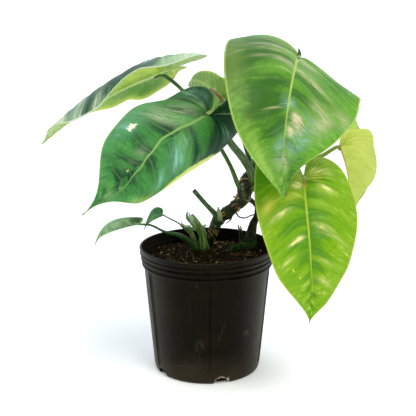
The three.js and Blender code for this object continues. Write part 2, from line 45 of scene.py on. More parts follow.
# The camera stands where the photograph was taken from. Lengths here and below are in mm.
camera = {"focalPixels": 1000, "pixels": 416, "sensor": 36, "place": (1.2, -1170, 496), "pitchDown": 14.14}
lighting = {
    "world": {"front": ("f2f5f8", 0.5), "back": ("eaf3ff", 0.95)},  # colour and strength
    "floor": {"tint": "f6f7f7", "glow": 0.25, "half": 40000},
    "lamps": [  # name, direction it shines from, softness in degrees, strength, colour
        ("keySun", (0.4, -0.6, 1), 30, 1.7, "fffaf0"),
        ("fillSun", (-0.6, 0.6, 1), 60, 0.5, "eef5ff"),
    ],
}


def colour(code):  # a web colour as linear light
    parts = [int(code[i:i + 2], 16) / 255 for i in (0, 2, 4)]
    return (*(p / 12.92 if p <= 0.04045 else ((p + 0.055) / 1.055) ** 2.4 for p in parts), 1)


# Node tree helpers, for materials and Geometry Nodes alike


class Flow:  # a value on its way through a node tree, so that a sum in the tree is written as a sum
    def __init__(self, socket):
        self.socket, self.tree = socket, socket.id_data

    def __add__(self, other):
        return calc("ADD", self, other)

    def __sub__(self, other):
        return calc("SUBTRACT", self, other)

    def __rsub__(self, other):
        return calc("SUBTRACT", other, self)

    def __mul__(self, other):
        return calc("MULTIPLY", self, other)

    def __truediv__(self, other):
        return calc("DIVIDE", self, other)


def plug(value, socket):  # a flow is linked, anything else is set, and a web colour is made light first
    if isinstance(value, Flow):
        socket.id_data.links.new(value.socket, socket)
    else:
        socket.default_value = colour(value) if socket.type == "RGBA" and isinstance(value, str) else value


def newNode(tree, kind, inputs=None, **settings):
    made = tree.nodes.new(kind)
    for name, value in settings.items():
        setattr(made, name, value)
    for name, value in (inputs or {}).items():
        plug(value, made.inputs[name])
    return made


def flow(tree, kind, inputs=None, output=0, **settings):
    return Flow(newNode(tree, kind, inputs, **settings).outputs[output])


def geo(tree, kind, inputs=None, output=0, **settings):
    return flow(tree, "GeometryNode" + kind, inputs, output, **settings)


def treeOf(values):
    return next(value.tree for value in values if isinstance(value, Flow))


def calc(operation, *values):
    return flow(treeOf(values), "ShaderNodeMath", dict(enumerate(values)), operation=operation)


def rise(value, low, high):  # 0 below low, 1 above high, smooth between
    sockets = {0: value, 1: low, 2: high}
    return flow(value.tree, "ShaderNodeMapRange", sockets, interpolation_type="SMOOTHSTEP")


def mixColour(share, first, second):
    return flow(share.tree, "ShaderNodeMix", {0: share, 6: first, 7: second}, 2, data_type="RGBA")


def noiseAt(place, scale, detail=3, rough=0.55):
    return flow(place.tree, "ShaderNodeTexNoise", {
        "Vector": place, "Scale": scale, "Detail": detail, "Roughness": rough}, "Fac")


def split(vector):
    return [Flow(part) for part in newNode(vector.tree, "ShaderNodeSeparateXYZ", {0: vector}).outputs]


def join(x, y, z):
    return flow(treeOf((x, y, z)), "ShaderNodeCombineXYZ", {0: x, 1: y, 2: z})


def objectPlace(tree):
    return flow(tree, "ShaderNodeTexCoord", output="Object")


def attribute(tree, name, output="Vector"):
    return flow(tree, "ShaderNodeAttribute", output=output, attribute_name=name)


def newTree(name, kind, inputs, outputs):  # inputs and outputs hold the sockets' names under their types
    tree = bpy.data.node_groups.new(name, kind)
    for side, sockets in (("INPUT", inputs), ("OUTPUT", outputs)):
        for socketType, labels in sockets.items():
            for label in labels.split():
                tree.interface.new_socket(label, in_out=side, socket_type="NodeSocket" + socketType)
    given = {socket.name: Flow(socket) for socket in tree.nodes.new("NodeGroupInput").outputs}
    return tree, given, tree.nodes.new("NodeGroupOutput").inputs


def useGroup(tree, group, **values):  # values may hold more than the group has inputs for
    made = newNode(tree, "ShaderNodeGroup", node_tree=group)
    for socket in made.inputs:
        plug(values[socket.name], socket)
    return {socket.name: Flow(socket) for socket in made.outputs}


def newMaterial(name, constants):
    material = bpy.data.materials.new(name)
    material.use_nodes = True
    shader = material.node_tree.nodes["Principled BSDF"].inputs
    for label, value in constants.items():
        plug(value, shader[label])
    return material, material.node_tree, shader


def coat(tree, shader, tone, rough, height, bump):
    plug(tone, shader["Base Color"])
    plug(rough, shader["Roughness"])
    plug(flow(tree, "ShaderNodeBump", {"Distance": bump * mm, "Height": height}), shader["Normal"])


# Mesh helpers


def newObject(name, data):
    made = bpy.data.objects.new(name, data)
    bpy.context.collection.objects.link(made)
    return made


def newPiece(name, points, faces, material=None):
    mesh = bpy.data.meshes.new(name)
    mesh.from_pydata([tuple(point) for point in points], [], faces)
    mesh.polygons.foreach_set("use_smooth", [True] * len(mesh.polygons))
    if material:
        mesh.materials.append(material)
    return newObject(name, mesh)


def giveVectors(mesh, name, values):
    made = mesh.attributes.new(name, "FLOAT_VECTOR", "POINT")
    made.data.foreach_set("vector", np.asarray(values, float).ravel())


def giveValues(mesh, name, values):
    made = mesh.attributes.new(name, "FLOAT", "POINT")
    made.data.foreach_set("value", np.asarray(values, float))


def pointsOf(piece):
    points = np.zeros(3 * len(piece.data.vertices))
    piece.data.vertices.foreach_get("co", points)
    return points.reshape(-1, 3)


def evaluated(piece):  # a plain mesh with the piece's modifiers in it
    bpy.context.view_layer.update()
    return bpy.data.meshes.new_from_object(piece.evaluated_get(bpy.context.evaluated_depsgraph_get()))


def joinInto(piece, *others):
    pieces = [piece, *others]
    with bpy.context.temp_override(active_object=piece, object=piece, selected_editable_objects=pieces):
        bpy.ops.object.join()


def settle(piece, slotName, *nodes):
    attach(piece, "root")
    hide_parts(*nodes)


def makeCamera():
    view = newObject("camera", bpy.data.cameras.new("camera"))
    view.data.sensor_width = camera["sensor"]
    view.data.lens = camera["focalPixels"] / camera["pixels"] * camera["sensor"]
    view.location = Vector(camera["place"]) * mm
    view.rotation_euler = (math.radians(90 - camera["pitchDown"]), 0, 0)
    bpy.context.scene.camera = view
    bpy.context.scene.view_settings.view_transform = "Standard"


def makeSky():
    world = bpy.data.worlds.new("studio")
    bpy.context.scene.world = world
    world.use_nodes = True
    sky = world.node_tree
    (frontTint, frontStrength), (backTint, backStrength) = lighting["world"].values()
    backward = rise(split(flow(sky, "ShaderNodeTexCoord", output="Generated"))[1], -1, 0.8)
    backdrop = sky.nodes["Background"].inputs
    plug(mixColour(backward, frontTint, backTint), backdrop["Color"])
    plug(flow(sky, "ShaderNodeMix", {0: backward, 2: frontStrength, 3: backStrength}), backdrop["Strength"])


def makeLamps():
    for name, place, softness, strength, tint in lighting["lamps"]:
        lamp = newObject(name, bpy.data.lights.new(name, "SUN"))
        lamp.data.energy = strength
        lamp.data.angle = math.radians(softness)
        lamp.data.color = colour(tint)[:3]
        lamp.rotation_euler = (-Vector(place)).to_track_quat("-Z", "Y").to_euler()


def makeFloor():
    tint, glow, half = lighting["floor"].values()
    mesh = bpy.data.meshes.new("floor")
    corners = [(-half, -half), (half, -half), (half, half), (-half, half)]
    mesh.from_pydata([(x * mm, y * mm, 0) for x, y in corners], [], [(0, 1, 2, 3)])
    paint, _, _ = newMaterial("paleFloor", {
        "Base Color": tint, "Roughness": 1.0, "Emission Color": tint, "Emission Strength": glow})
    mesh.materials.append(paint)
    floor = newObject("floor", mesh)


makeCamera()
makeSky()
makeLamps()
makeFloor()
print("studio ready")

# Leaf blades: the flat heart shape is bent along its midrib and across each half
heart = {"sinusReach": 0.55, "sinusGap": 0.05, "lobeInner": 0.28, "lobeOuter": 0.34, "tipReach": 0.3}
bladeBuild = {
    "veinSlope": 0.5, "veinBow": 0.1, "thickness": 0.6,
    "curveShares": (3, 5, 7), "crowding": 1.3, "lip": 0.985,
    "grid": (18, 36), "smallGrid": (5, 12), "smallLength": 70,  # rows per share of the outline, and columns
    "midribSteps": 500, "midribSpare": 10,
}


def bezier(corners, count):
    t = np.linspace(0, 1, count + 1)[:, None]
    a, b, c, d = (np.array(corner, float) for corner in corners)
    return (1 - t) ** 3 * a + 3 * (1 - t) ** 2 * t * b + 3 * (1 - t) * t ** 2 * c + t ** 3 * d


def edgeShift(edge, share):
    values = np.array([0, *edge, 0], float)
    place = share * (len(values) - 1)
    low = np.minimum(place.astype(int), len(values) - 2)
    return values[low] + (values[low + 1] - values[low]) * (1 - np.cos(np.pi * (place - low))) / 2


def flatOutline(leaf, half, rowsPerShare):
    lobe = leaf["lobe"] * half["lobe"]
    length, width = leaf["length"], half["width"]
    wide = leaf["widest"] * length
    rest = length - wide

    def at(x, share):
        return (x, share * width)

    sinus, lobeEnd, widest, tip = at(0, 0), at(-lobe, leaf["lobeFull"]), at(wide, 1), at(length, 0)
    curves = [
        (sinus, at(-heart["sinusReach"] * lobe, heart["sinusGap"]),
         at(-lobe, leaf["lobeFull"] - heart["lobeInner"]), lobeEnd),
        (lobeEnd, at(-lobe, leaf["lobeFull"] + heart["lobeOuter"]), at((wide - lobe) / 2, 1), widest),
        (widest, at(wide + leaf["full"] * rest, 1), at(length - heart["tipReach"] * rest, leaf["tip"]), tip),
    ]
    line = np.vstack([
        bezier(curve, share * rowsPerShare)[0 if i == 0 else 1:]
        for i, (curve, share) in enumerate(zip(curves, bladeBuild["curveShares"]))])
    along = line[2:] - line[:-2]
    along /= np.linalg.norm(along, axis=1)[:, None]
    shift = edgeShift(half["edge"], np.linspace(0, 1, len(line)))[1:-1]
    line[1:-1, 0] -= along[:, 1] * shift
    line[1:-1, 1] = np.maximum(line[1:-1, 1] + along[:, 0] * shift, 0)
    return line


def directionAt(leaf, s):
    k = s / leaf["length"]
    ahead = np.clip(k, 0, None)
    lobes = leaf["lobeLift"] * s / leaf["lobe"]
    drooped = np.where(k > 0, leaf["droop"] * ahead ** leaf["droopPower"], lobes)
    heading = np.radians(leaf["heading"] + leaf["turn"] * ahead ** 1.5)
    pitch = np.radians(leaf["pitch"] - drooped)
    flat = np.cos(pitch)
    along = np.stack([flat * np.cos(heading), flat * np.sin(heading), np.sin(pitch)], axis=-1)
    up = np.stack([-np.sin(pitch) * np.cos(heading), -np.sin(pitch) * np.sin(heading), flat], axis=-1)
    return along, up


def midribFrames(leaf, s):
    reach = leaf["lobe"] * max(leaf["left"]["lobe"], leaf["right"]["lobe"]) + bladeBuild["midribSpare"]
    stations = np.linspace(-reach, leaf["length"], bladeBuild["midribSteps"])
    along = directionAt(leaf, stations)[0]
    steps = (along[1:] + along[:-1]) / 2 * (stations[1] - stations[0])
    line = np.vstack([np.zeros(3), np.cumsum(steps, axis=0)])
    line += np.array(leaf["base"]) - [np.interp(0, stations, line[:, i]) for i in range(3)]
    centre = np.stack([np.interp(s, stations, line[:, i]) for i in range(3)], axis=-1)
    along, up = directionAt(leaf, s)
    side = np.cross(up, along)
    roll = np.radians(leaf["roll"] + leaf["twist"] * np.clip(s / leaf["length"], 0, 1))[..., None]
    return centre, up * np.cos(roll) + side * np.sin(roll), side * np.cos(roll) - up * np.sin(roll)


def bendHalf(leaf, half, sign, s, t):
    centre, up, side = midribFrames(leaf, s)
    k = np.clip(s / leaf["length"], 0, 1)
    fold = math.radians(half["fold"])
    curl = np.radians(half["curl"][0] + (half["curl"][1] - half["curl"][0]) * k)
    curl = np.where(abs(curl) < 0.001, 0.001, curl)
    x = t / half["width"]
    out = half["width"] * (np.sin(fold + curl * x) - math.sin(fold)) / curl
    lift = -half["width"] * (np.cos(fold + curl * x) - math.cos(fold)) / curl
    return centre + side * (sign * out)[..., None] + up * lift[..., None]


# A soft spot in the leaf's own coordinates: row from sinus to tip, and across from -1 to 1
def spot(row, across, atRow, atAcross, rowSize, acrossSize, strength):
    return strength * np.exp(-((row - atRow) / rowSize) ** 2 - ((across - atAcross) / acrossSize) ** 2)


# A smooth, uneven wave from -1 to 1 that never repeats over a leaf
def wander(x, y, seed):
    waves = np.sin(2.1 * x + 1.7 * y + seed) + np.sin(3.7 * x - 2.9 * y + 2.3 * seed)
    return (waves + np.sin(0.9 * x + 5.3 * y + 4.1 * seed)) / 3


# Counts the side veins from the base to the tip, whole numbers lying on a vein
def veinPhase(leaf, row, across):
    uneven = 0.3 * wander(9 * row + 3 * np.sign(across), 1.2 * abs(across), leaf["length"])
    return leaf["quilt"]["veins"] * row + 0.25 * np.sign(across) + uneven


def ribDistance(leaf, across, s, t):  # mm from the midrib, which sways a little in the blade
    k = np.clip(s / leaf["length"], 0, 1)
    return t * np.sign(across) - edgeShift(leaf.get("ribSway", ()), k)


def sheetRelief(leaf, row, across, s, t):
    quilt, ripple = leaf["quilt"], leaf["ripple"]
    out = abs(across)
    k = np.clip(s / leaf["length"], 0, 1)
    phase = veinPhase(leaf, row, across)
    hump = abs(np.sin(math.pi * phase)) ** 0.8 - 0.6
    uneven = 1 + 0.6 * wander(2.3 * np.floor(phase), 3 * out, 5)
    fade = np.minimum(out / 0.1, 1) * (1 - out) ** quilt["fade"] * np.minimum((1 - k) / 0.15, 1)
    height = quilt["depth"] * hump * uneven * fade
    crinkle = np.sin(6.3 * phase + 2 * wander(14 * row, 5 * out, 2))
    crinkle *= np.maximum(wander(11 * row, 4 * across, 7), 0)
    height += quilt.get("crinkle", 0.35) * crinkle * np.minimum(fade + 0.15 * (out < 0.9), 1)
    height -= leaf["groove"] * np.exp(-(ribDistance(leaf, across, s, t) / 3) ** 2) * (1 - 0.8 * k)
    wave = np.sin(2 * math.pi * (ripple["count"] * row + ripple["phase"] + 0.3 * (across > 0)))
    height += ripple["height"] * out ** 3 * wave
    for swell in leaf.get("swells", []):
        height += spot(row, across, *swell)
    return height


def bladeSheet(leaf, rowsPerShare, columns):
    halves = [(leaf["left"], 1), (leaf["right"], -1)]
    outlines = [flatOutline(leaf, half, rowsPerShare) for half, _ in halves]
    middle = (outlines[0] + outlines[1]) / 2
    start = np.clip(middle[:, 0] - bladeBuild["veinSlope"] * middle[:, 1], 0, leaf["length"])
    start = np.maximum.accumulate(start)[:, None]
    steps = np.append((np.arange(columns) / columns) ** bladeBuild["crowding"], [bladeBuild["lip"], 1])
    rows = np.linspace(0, 1, len(middle))
    places, found, sheet = [], {}, {"points": [], "row": [], "across": [], "s": [], "t": []}
    for h, (half, sign) in enumerate(halves):
        edge = outlines[h]
        bow = bladeBuild["veinBow"] * 4 * steps * (1 - steps) * edge[:, 1:]
        s = start + (edge[:, :1] - start) * steps - bow
        t = edge[:, 1:] * steps
        bent = bendHalf(leaf, half, sign, s, t)
        index = np.zeros(s.shape, int)
        for i, j in np.ndindex(s.shape):
            key = (0 if t[i, j] < 1e-6 else sign, round(s[i, j], 3), round(t[i, j], 3))
            if key not in found:
                found[key] = len(sheet["points"])
                sheet["points"].append(bent[i, j])
                sheet["row"].append(rows[i])
                sheet["across"].append(sign * steps[j])
                sheet["s"].append(s[i, j])
                sheet["t"].append(t[i, j])
            index[i, j] = found[key]
        places.append(index)
    faces = []
    for h, index in enumerate(places):
        for i in range(1, len(rows) - 1):
            for j in range(len(steps) - 1):
                ring = [index[i, j], index[i + 1, j], index[i + 1, j + 1], index[i, j + 1]]
                ring = list(dict.fromkeys(int(v) for v in (ring if h == 0 else ring[::-1])))
                if len(ring) > 2:
                    faces.append(ring)
    return {name: np.array(values) for name, values in sheet.items()}, faces


def pointNormals(points, faces):
    normals = np.zeros_like(points)
    for size in (3, 4):
        ring = np.array([face for face in faces if len(face) == size])
        if len(ring):
            corners = points[ring]
            normal = np.cross(corners[:, 2] - corners[:, 0], corners[:, -1] - corners[:, 1])
            for i in range(size):
                np.add.at(normals, ring[:, i], normal)
    return normals / np.maximum(np.linalg.norm(normals, axis=1), 1e-12)[:, None]


def rimOf(faces):
    edges = {(face[i - 1], face[i]) for face in faces for i in range(len(face))}
    return [(a, b) for a, b in edges if (b, a) not in edges]


# Adds up a blade's patches of painted shade, glare, sheen and yellow at each of its points
def bladeTones(row, across, patches):
    tones = {kind: np.zeros(len(row)) for kind in ("dark", "pale", "yellow", "cool")}
    for kind, marks in patches.items():
        for mark in marks:
            tones[kind] += spot(row, across, *mark)
    return np.stack([tones["dark"], tones["pale"], tones["yellow"]], axis=1), tones["cool"]


def makeBlade(name, node, leaf, slotName):
    small = leaf["length"] < bladeBuild["smallLength"]
    sheet, faces = bladeSheet(leaf, *bladeBuild["smallGrid" if small else "grid"])
    row, across, s, t = (sheet[part] for part in ("row", "across", "s", "t"))
    points = sheet["points"]
    points = points + pointNormals(points, faces) * sheetRelief(leaf, row, across, s, t)[:, None]
    normals = pointNormals(points, faces)
    k = np.clip(s / leaf["length"], 0, 1)
    ribWidth = leaf["rib"] * (1 - 0.75 * k)
    half = bladeBuild["thickness"] / 2
    toRib = ribDistance(leaf, across, s, t)
    phase = veinPhase(leaf, row, across)
    ribs = 0.7 * ribWidth * np.exp(-(toRib / (0.8 * ribWidth)) ** 2)
    ribs += 0.3 * np.maximum(0, 1 - abs(np.sin(math.pi * phase)) * 5) * (1 - abs(across)) * (t > 0)
    both = np.vstack([points + normals * half, points - normals * (half + ribs)[:, None]]) * mm
    count = len(points)
    closed = [*faces, *([v + count for v in face[::-1]] for face in faces)]
    closed += [[b, a, a + count, b + count] for a, b in rimOf(faces)]
    piece = newPiece(name, both, closed)
    mesh = piece.data
    mesh.materials.append(leafMaterial(name + "Top", leaf["top"], leaf.get("blemishes", [])))
    mesh.materials.append(leafMaterial(name + "Under", leaf["under"], []))
    rim = len(closed) - 2 * len(faces)
    mesh.polygons.foreach_set("material_index", [0] * len(faces) + [1] * len(faces) + [0] * rim)
    giveVectors(mesh, "bladePlace", np.tile(np.stack([row, across, toRib / ribWidth], axis=1), (2, 1)))
    giveValues(mesh, "bladeVein", np.tile(phase, 2))
    # painted shade, glare and yellow go into bladeTone, and the painted sheen into an attribute of its own
    tones, cool = zip(*(bladeTones(row, across, leaf.get(side, {})) for side in ("patches", "underPatches")))
    giveVectors(mesh, "bladeTone", np.vstack(tones))
    giveValues(mesh, "bladeCool", np.concatenate(cool))
    settle(piece, slotName, node)


# The tissue of a blade: streaks run with the side veins, and the tone comes from the leaf's patches of
# painted shade, glare and sheen, with painted shade in the valleys by the side veins and painted highlight on
# the ridges
def makeLeafTissue():
    tree, given, result = newTree("leafTissue", "ShaderNodeTree", {
        "Vector": "place tone position",
        "Float": "coolShare phase vein streaks quilting edgeStart margin roughness",
        "Color": "base dark pale edge rib yellow cool"}, {"Color": "tone", "Float": "roughness height"})
    row, across, ribShare = split(given["place"])
    dark, pale, yellow = split(given["tone"])
    out = calc("ABSOLUTE", across)
    alongVeins = join(given["phase"], out * 0.35, calc("SIGN", across) * 5)
    streak = noiseAt(alongVeins, 3, 5, 0.75)
    fine = noiseAt(alongVeins, 9, 4, 0.7)
    mottle = noiseAt(given["position"], 32, 4, 0.6)
    cells = noiseAt(given["position"], 170, 4, 0.65)
    speckle = noiseAt(given["position"], 420, 2)
    shade = (streak - 0.5 + (fine - 0.5) * 0.6) * given["streaks"]
    shade = shade + (mottle - 0.5) * 0.7 + (speckle - 0.5) * 0.35 + (cells - 0.5) * 0.7
    gapToVein = calc("PINGPONG", given["phase"], 0.5)
    # painted shade in the valleys beside the side veins and painted highlight on the ridges between them,
    # fading away from the midrib
    veinValleyShade = (0.5 - rise(gapToVein, 0.04, 0.4)) * (1 - rise(out, 0.15, 0.8))
    depth = dark + shade + veinValleyShade * given["quilting"]
    rim = rise(out - shade * 0.35, given["edgeStart"], 1.05)
    tone = mixColour(rim * 0.8, given["base"], given["edge"])
    tone = mixColour(rise(depth, -0.3, 0.95), tone, given["dark"])
    # pale where the depth falls below zero: painted highlight on the ridges between the side veins, and light
    # streaks
    tone = mixColour(rise(depth * -1, 0.08, 0.6) * 0.42, tone, given["pale"])
    broken = rise(streak + (fine - 0.5) * 0.9, 0.44, 0.58)
    # painted sheen and painted glare from the patches, broken along the streaks
    for share, tint in ((given["coolShare"], "cool"), (pale, "pale")):
        tone = mixColour(calc("MINIMUM", share * (broken * 0.9 + 0.25), 0.95), tone, given[tint])
    vein = (1 - rise(gapToVein, 0.012, 0.06)) * (1 - rise(out, 0.3, 0.9))
    tone = mixColour(vein * given["vein"] * rise(mottle, 0.3, 0.6), tone, given["rib"])
    tone = mixColour(calc("MINIMUM", yellow, 1), tone, given["yellow"])
    rib = (1 - rise(calc("ABSOLUTE", ribShare), 0.5, 1.05)) * (1 - rise(row, 0.66, 0.95))
    tone = mixColour(rib * 0.9, tone, given["rib"])
    tone = mixColour(rise(out, 0.97, 0.99) * given["margin"], tone, given["yellow"])
    plug(tone, result["tone"])
    plug(given["roughness"] + (fine - 0.5) * 0.3 + (mottle - 0.5) * 0.2, result["roughness"])
    plug(streak * 0.8 + fine * 0.3 + speckle * 0.05 - vein * 0.3, result["height"])
    return tree


# A small mark with a ragged edge, at a place on the blade
def makeBlemish():
    tree, given, result = newTree("blemish", "ShaderNodeTree", {
        "Vector": "place position", "Float": "row across rowSize acrossSize ragged"}, {"Float": "mask"})
    row, across, _ = split(given["place"])
    u, v = (row - given["row"]) / given["rowSize"], (across - given["across"]) / given["acrossSize"]
    wobble = noiseAt(given["position"], 420, 2) - 0.5
    far = calc("SQRT", u * u + v * v) + wobble * (given["ragged"] * 3)
    plug(1 - rise(far, 0.85, 1.1), result["mask"])
    return tree


leafTissue = makeLeafTissue()
blemish = makeBlemish()


def leafMaterial(name, look, blemishes):
    material, tree, shader = newMaterial(name, {"Specular IOR Level": look["specular"]})
    place, position = attribute(tree, "bladePlace"), objectPlace(tree)
    tissue = useGroup(
        tree, leafTissue, **look, place=place, position=position, tone=attribute(tree, "bladeTone"),
        coolShare=attribute(tree, "bladeCool", "Fac"), phase=attribute(tree, "bladeVein", "Fac"))
    tone = tissue["tone"]
    for row, across, (rowSize, acrossSize), tint, ragged in blemishes:
        mark = useGroup(tree, blemish, place=place, position=position, row=row, across=across,
                        rowSize=rowSize, acrossSize=acrossSize, ragged=ragged)
        tone = mixColour(mark["mask"], tone, tint)
    coat(tree, shader, tone, tissue["roughness"], tissue["height"], look["bump"])
    return material


# Looks that several leaves share. Colours are web colours.
# the pale and bluish-white colours tint painted glare and sheen, and one value sets how strong the painted
# shade in the vein valleys is
deepTop = {
    "base": "3e8233", "dark": "0c2c16", "pale": "a9b890", "edge": "4d9236", "rib": "8fb468",
    "yellow": "d6e268", "cool": "84bca4", "vein": 0.2, "streaks": 2.2, "quilting": 0.6, "edgeStart": 0.62,
    "margin": 0.25, "roughness": 0.38, "specular": 0.15, "bump": 0.6,
}
limeTop = {
    **deepTop, "base": "80ae12", "dark": "508c14", "pale": "f6f09c", "edge": "84b020", "rib": "b4cc4a",
    "yellow": "e4e45a", "cool": "b4cfa0", "streaks": 2.2, "quilting": 0.9, "margin": 0.35, "specular": 0.13,
}
# Undersides: paler than the tops, and lightened further to stand in for light shining through the leaf, a
# painted backlight glow
backlitPaleUnder = {
    **deepTop, "base": "b2d158", "dark": "7aa83a", "pale": "dce8a4", "edge": "bcd862", "rib": "d2e09c",
    "yellow": "e0ea74", "cool": "c4d8b0", "vein": 0.3, "streaks": 1.2, "quilting": 0.3, "edgeStart": 0.75,
    "margin": 0.5, "roughness": 0.5, "specular": 0.18,
}

# "patches" and "underPatches" paint light and shade on a blade's top and underside: the dark ones are painted
# shade and cast shadow, the pale ones painted glare, the bluish-white ones painted sheen, and the yellow ones
# partly the leaf's own yellow and partly painted highlight. Each has its place as row and across, its size in
# both, and its strength
leafA = {
    "base": (-53.5, 6, 363), "heading": 160, "pitch": -19, "turn": 26, "droop": 22, "droopPower": 0.9,
    "roll": -12, "twist": 6, "length": 178, "lobe": 60, "lobeFull": 0.54, "lobeLift": 22,
    "widest": 0.17, "full": 0.64, "tip": 0.05,
    "left": {"width": 65, "lobe": 1.1, "fold": 45, "curl": (-94, -164), "edge": (0, 1, 8, -5, 7, 11, 8)},
    "right": {"width": 61, "lobe": 0.32, "fold": 24, "curl": (-38, -112), "edge": (0, -1, -2, 5, -3, 0, -3)},
    "swells": [(0.575, -1, 0.03, 0.6, -6), (0.612, -1, 0.015, 0.5, 2), (0.665, -1, 0.03, 0.6, -3)],
    "quilt": {"veins": 17, "depth": 1.5, "fade": 0.6}, "ripple": {"count": 3, "height": 1.2, "phase": 0.1},
    "groove": 0.8, "rib": 2.0,
    "top": {**deepTop, "base": "6a9a64", "dark": "1c4a2c", "edge": "9ac48e", "pale": "d6e8c0",
            "yellow": "e4eed2", "cool": "a9cdc4", "streaks": 3.2, "margin": 0.8, "specular": 0.2},
    "under": {**backlitPaleUnder, "base": "c4e06c", "dark": "5c9438", "cool": "c2d8c0", "streaks": 0.8},
    "patches": {
        "dark": [(0.53, 0.72, 0.08, 0.2, 1.3), (0.66, 0.85, 0.06, 0.25, 1), (0.76, 0.7, 0.03, 0.3, 0.7),
                 (0.5, 0.85, 0.05, 0.3, 0.6), (0.45, 0.9, 0.03, 0.2, 0.7)],
        "pale": [(0.7, 0.9, 0.02, 0.3, 1), (0.8, 0.75, 0.03, 0.4, 0.9), (0.87, 0.7, 0.04, 0.4, 0.9),
                 (0.28, 0.9, 0.1, 0.2, 0.9), (0.62, 0.95, 0.02, 0.2, 0.8), (0.8, 0.9, 0.05, 0.3, 0.7)],
        "cool": [(0.72, 0.85, 0.04, 0.3, 0.4), (0.46, 0.75, 0.02, 0.1, 0.8)],
    },
    "underPatches": {
        "dark": [(0.62, -0.45, 0.12, 0.4, 0.8), (0.58, -0.8, 0.06, 0.2, 0.5), (0.985, 0.7, 0.03, 0.5, 0.6),
                 (0.6, 0.04, 0.2, 0.05, 0.3)],
        "cool": [(0.14, 0.7, 0.18, 0.5, 1), (0.92, 0.6, 0.1, 0.6, 1)],
        "yellow": [(0.44, -0.75, 0.045, 0.3, 0.7), (0.58, 0.3, 0.12, 0.3, 0.3),
                   (0.6, -0.99, 0.3, 0.06, 0.7)],
        "pale": [(0.8, -0.6, 0.08, 0.4, 0.4)],
    },
}
leafB = {
    "base": (0.5, -73.5, 326.5), "heading": -122.5, "pitch": -9, "turn": -14, "droop": 21, "droopPower": 0.8,
    "roll": 38, "twist": 23, "length": 213, "lobe": 44, "lobeFull": 0.38, "lobeLift": -24,
    "widest": 0.14, "full": 0.75, "tip": 0.01,
    "left": {"width": 65, "lobe": 1.08, "fold": 7, "curl": (-125, -125), "edge": (7, 0, 0, 5, -2, 0, -1)},
    "right": {"width": 62, "lobe": 1, "fold": 3, "curl": (-58, -4), "edge": (-4, -2, 0, 2, -5, 1, 0)},
    "quilt": {"veins": 15, "depth": 1.7, "fade": 0.7, "crinkle": 0.5},
    "ripple": {"count": 3, "height": 1.4, "phase": 0.3},
    "groove": 1.0, "rib": 2.1, "ribSway": (-0.5, -4, -5.6, -1.2, 3.8, 7.5, 6),
    "top": {**deepTop, "base": "489042", "dark": "163f2a", "edge": "549c54", "pale": "aabc94",
            "streaks": 1.6, "specular": 0.08},
    "under": {**backlitPaleUnder, "base": "9cc757", "dark": "78ad42"},
    "patches": {
        "dark": [(0.5, 0, 0.5, 3, 0.08), (0.4, 0.8, 0.1, 0.5, 1.4), (0.5, 0.5, 0.05, 0.4, 0.8),
                 (0.84, 0.3, 0.12, 0.6, 0.15), (0.56, -0.34, 0.012, 0.3, 0.6), (0.61, -0.2, 0.02, 0.2, 0.4),
                 (0.2, 0.5, 0.14, 0.5, 1.9), (0.37, 0.45, 0.09, 0.45, 1.9), (0.33, -0.75, 0.12, 0.35, 0.6),
                 (0.5, -0.35, 0.03, 0.3, 0.4), (0.48, 0.35, 0.04, 0.3, 0.7), (0.54, 0.6, 0.03, 0.4, 0.5),
                 (0.27, -0.55, 0.09, 0.45, 1), (0.45, -0.6, 0.05, 0.3, 0.6), (0.585, 0.45, 0.004, 0.4, 0.6),
                 (0.79, -0.25, 0.08, 0.4, 0.25), (0.7, -0.35, 0.08, 0.4, 0.2),
                 (0.78, 0.12, 0.08, 0.25, 0.35)],
        "cool": [(0.62, 0.22, 0.03, 0.12, 0.45), (0.25, -0.55, 0.06, 0.3, 0.35),
                 (0.6, -0.9, 0.12, 0.2, 0.3), (0.44, 0.45, 0.012, 0.2, 0.7), (0.41, 0.5, 0.01, 0.15, 0.6),
                 (0.64, 0.4, 0.022, 0.2, 0.9), (0.69, 0.6, 0.01, 0.2, 0.8), (0.36, -0.75, 0.06, 0.3, 0.6),
                 (0.66, -0.8, 0.03, 0.16, 0.5)],
        "pale": [(0.58, -0.6, 0.03, 0.2, 0.3), (0.4, -0.22, 0.05, 0.12, 0.5), (0.5, -0.5, 0.012, 0.3, 0.5),
                 (0.6, -0.5, 0.01, 0.3, 0.4), (0.46, -0.75, 0.01, 0.25, 0.4), (0.23, 0.4, 0.008, 0.3, 0.6),
                 (0.34, -0.35, 0.02, 0.3, 0.5), (0.43, -0.3, 0.03, 0.25, 0.45),
                 (0.57, -0.31, 0.03, 0.28, 0.6), (0.605, 0.3, 0.006, 0.3, 0.4),
                 (0.72, -0.2, 0.04, 0.14, 0.3), (0.9, 0.4, 0.04, 0.5, 0.3)],
        "yellow": [(0.74, 0.95, 0.06, 0.1, 0.3)],
    },
    "blemishes": [  # row, across, size, colour, raggedness
        (0.65, -0.74, (0.013, 0.062), "eef2d2", 1.0), (0.782, -0.1, (0.006, 0.02), "d8c274", 0.5),
        (0.55, 0.9, (0.1, 0.22), "dde878", 0.1), (0.84, 0.3, (0.003, 0.02), "c9dc86", 0.4),
    ],
}
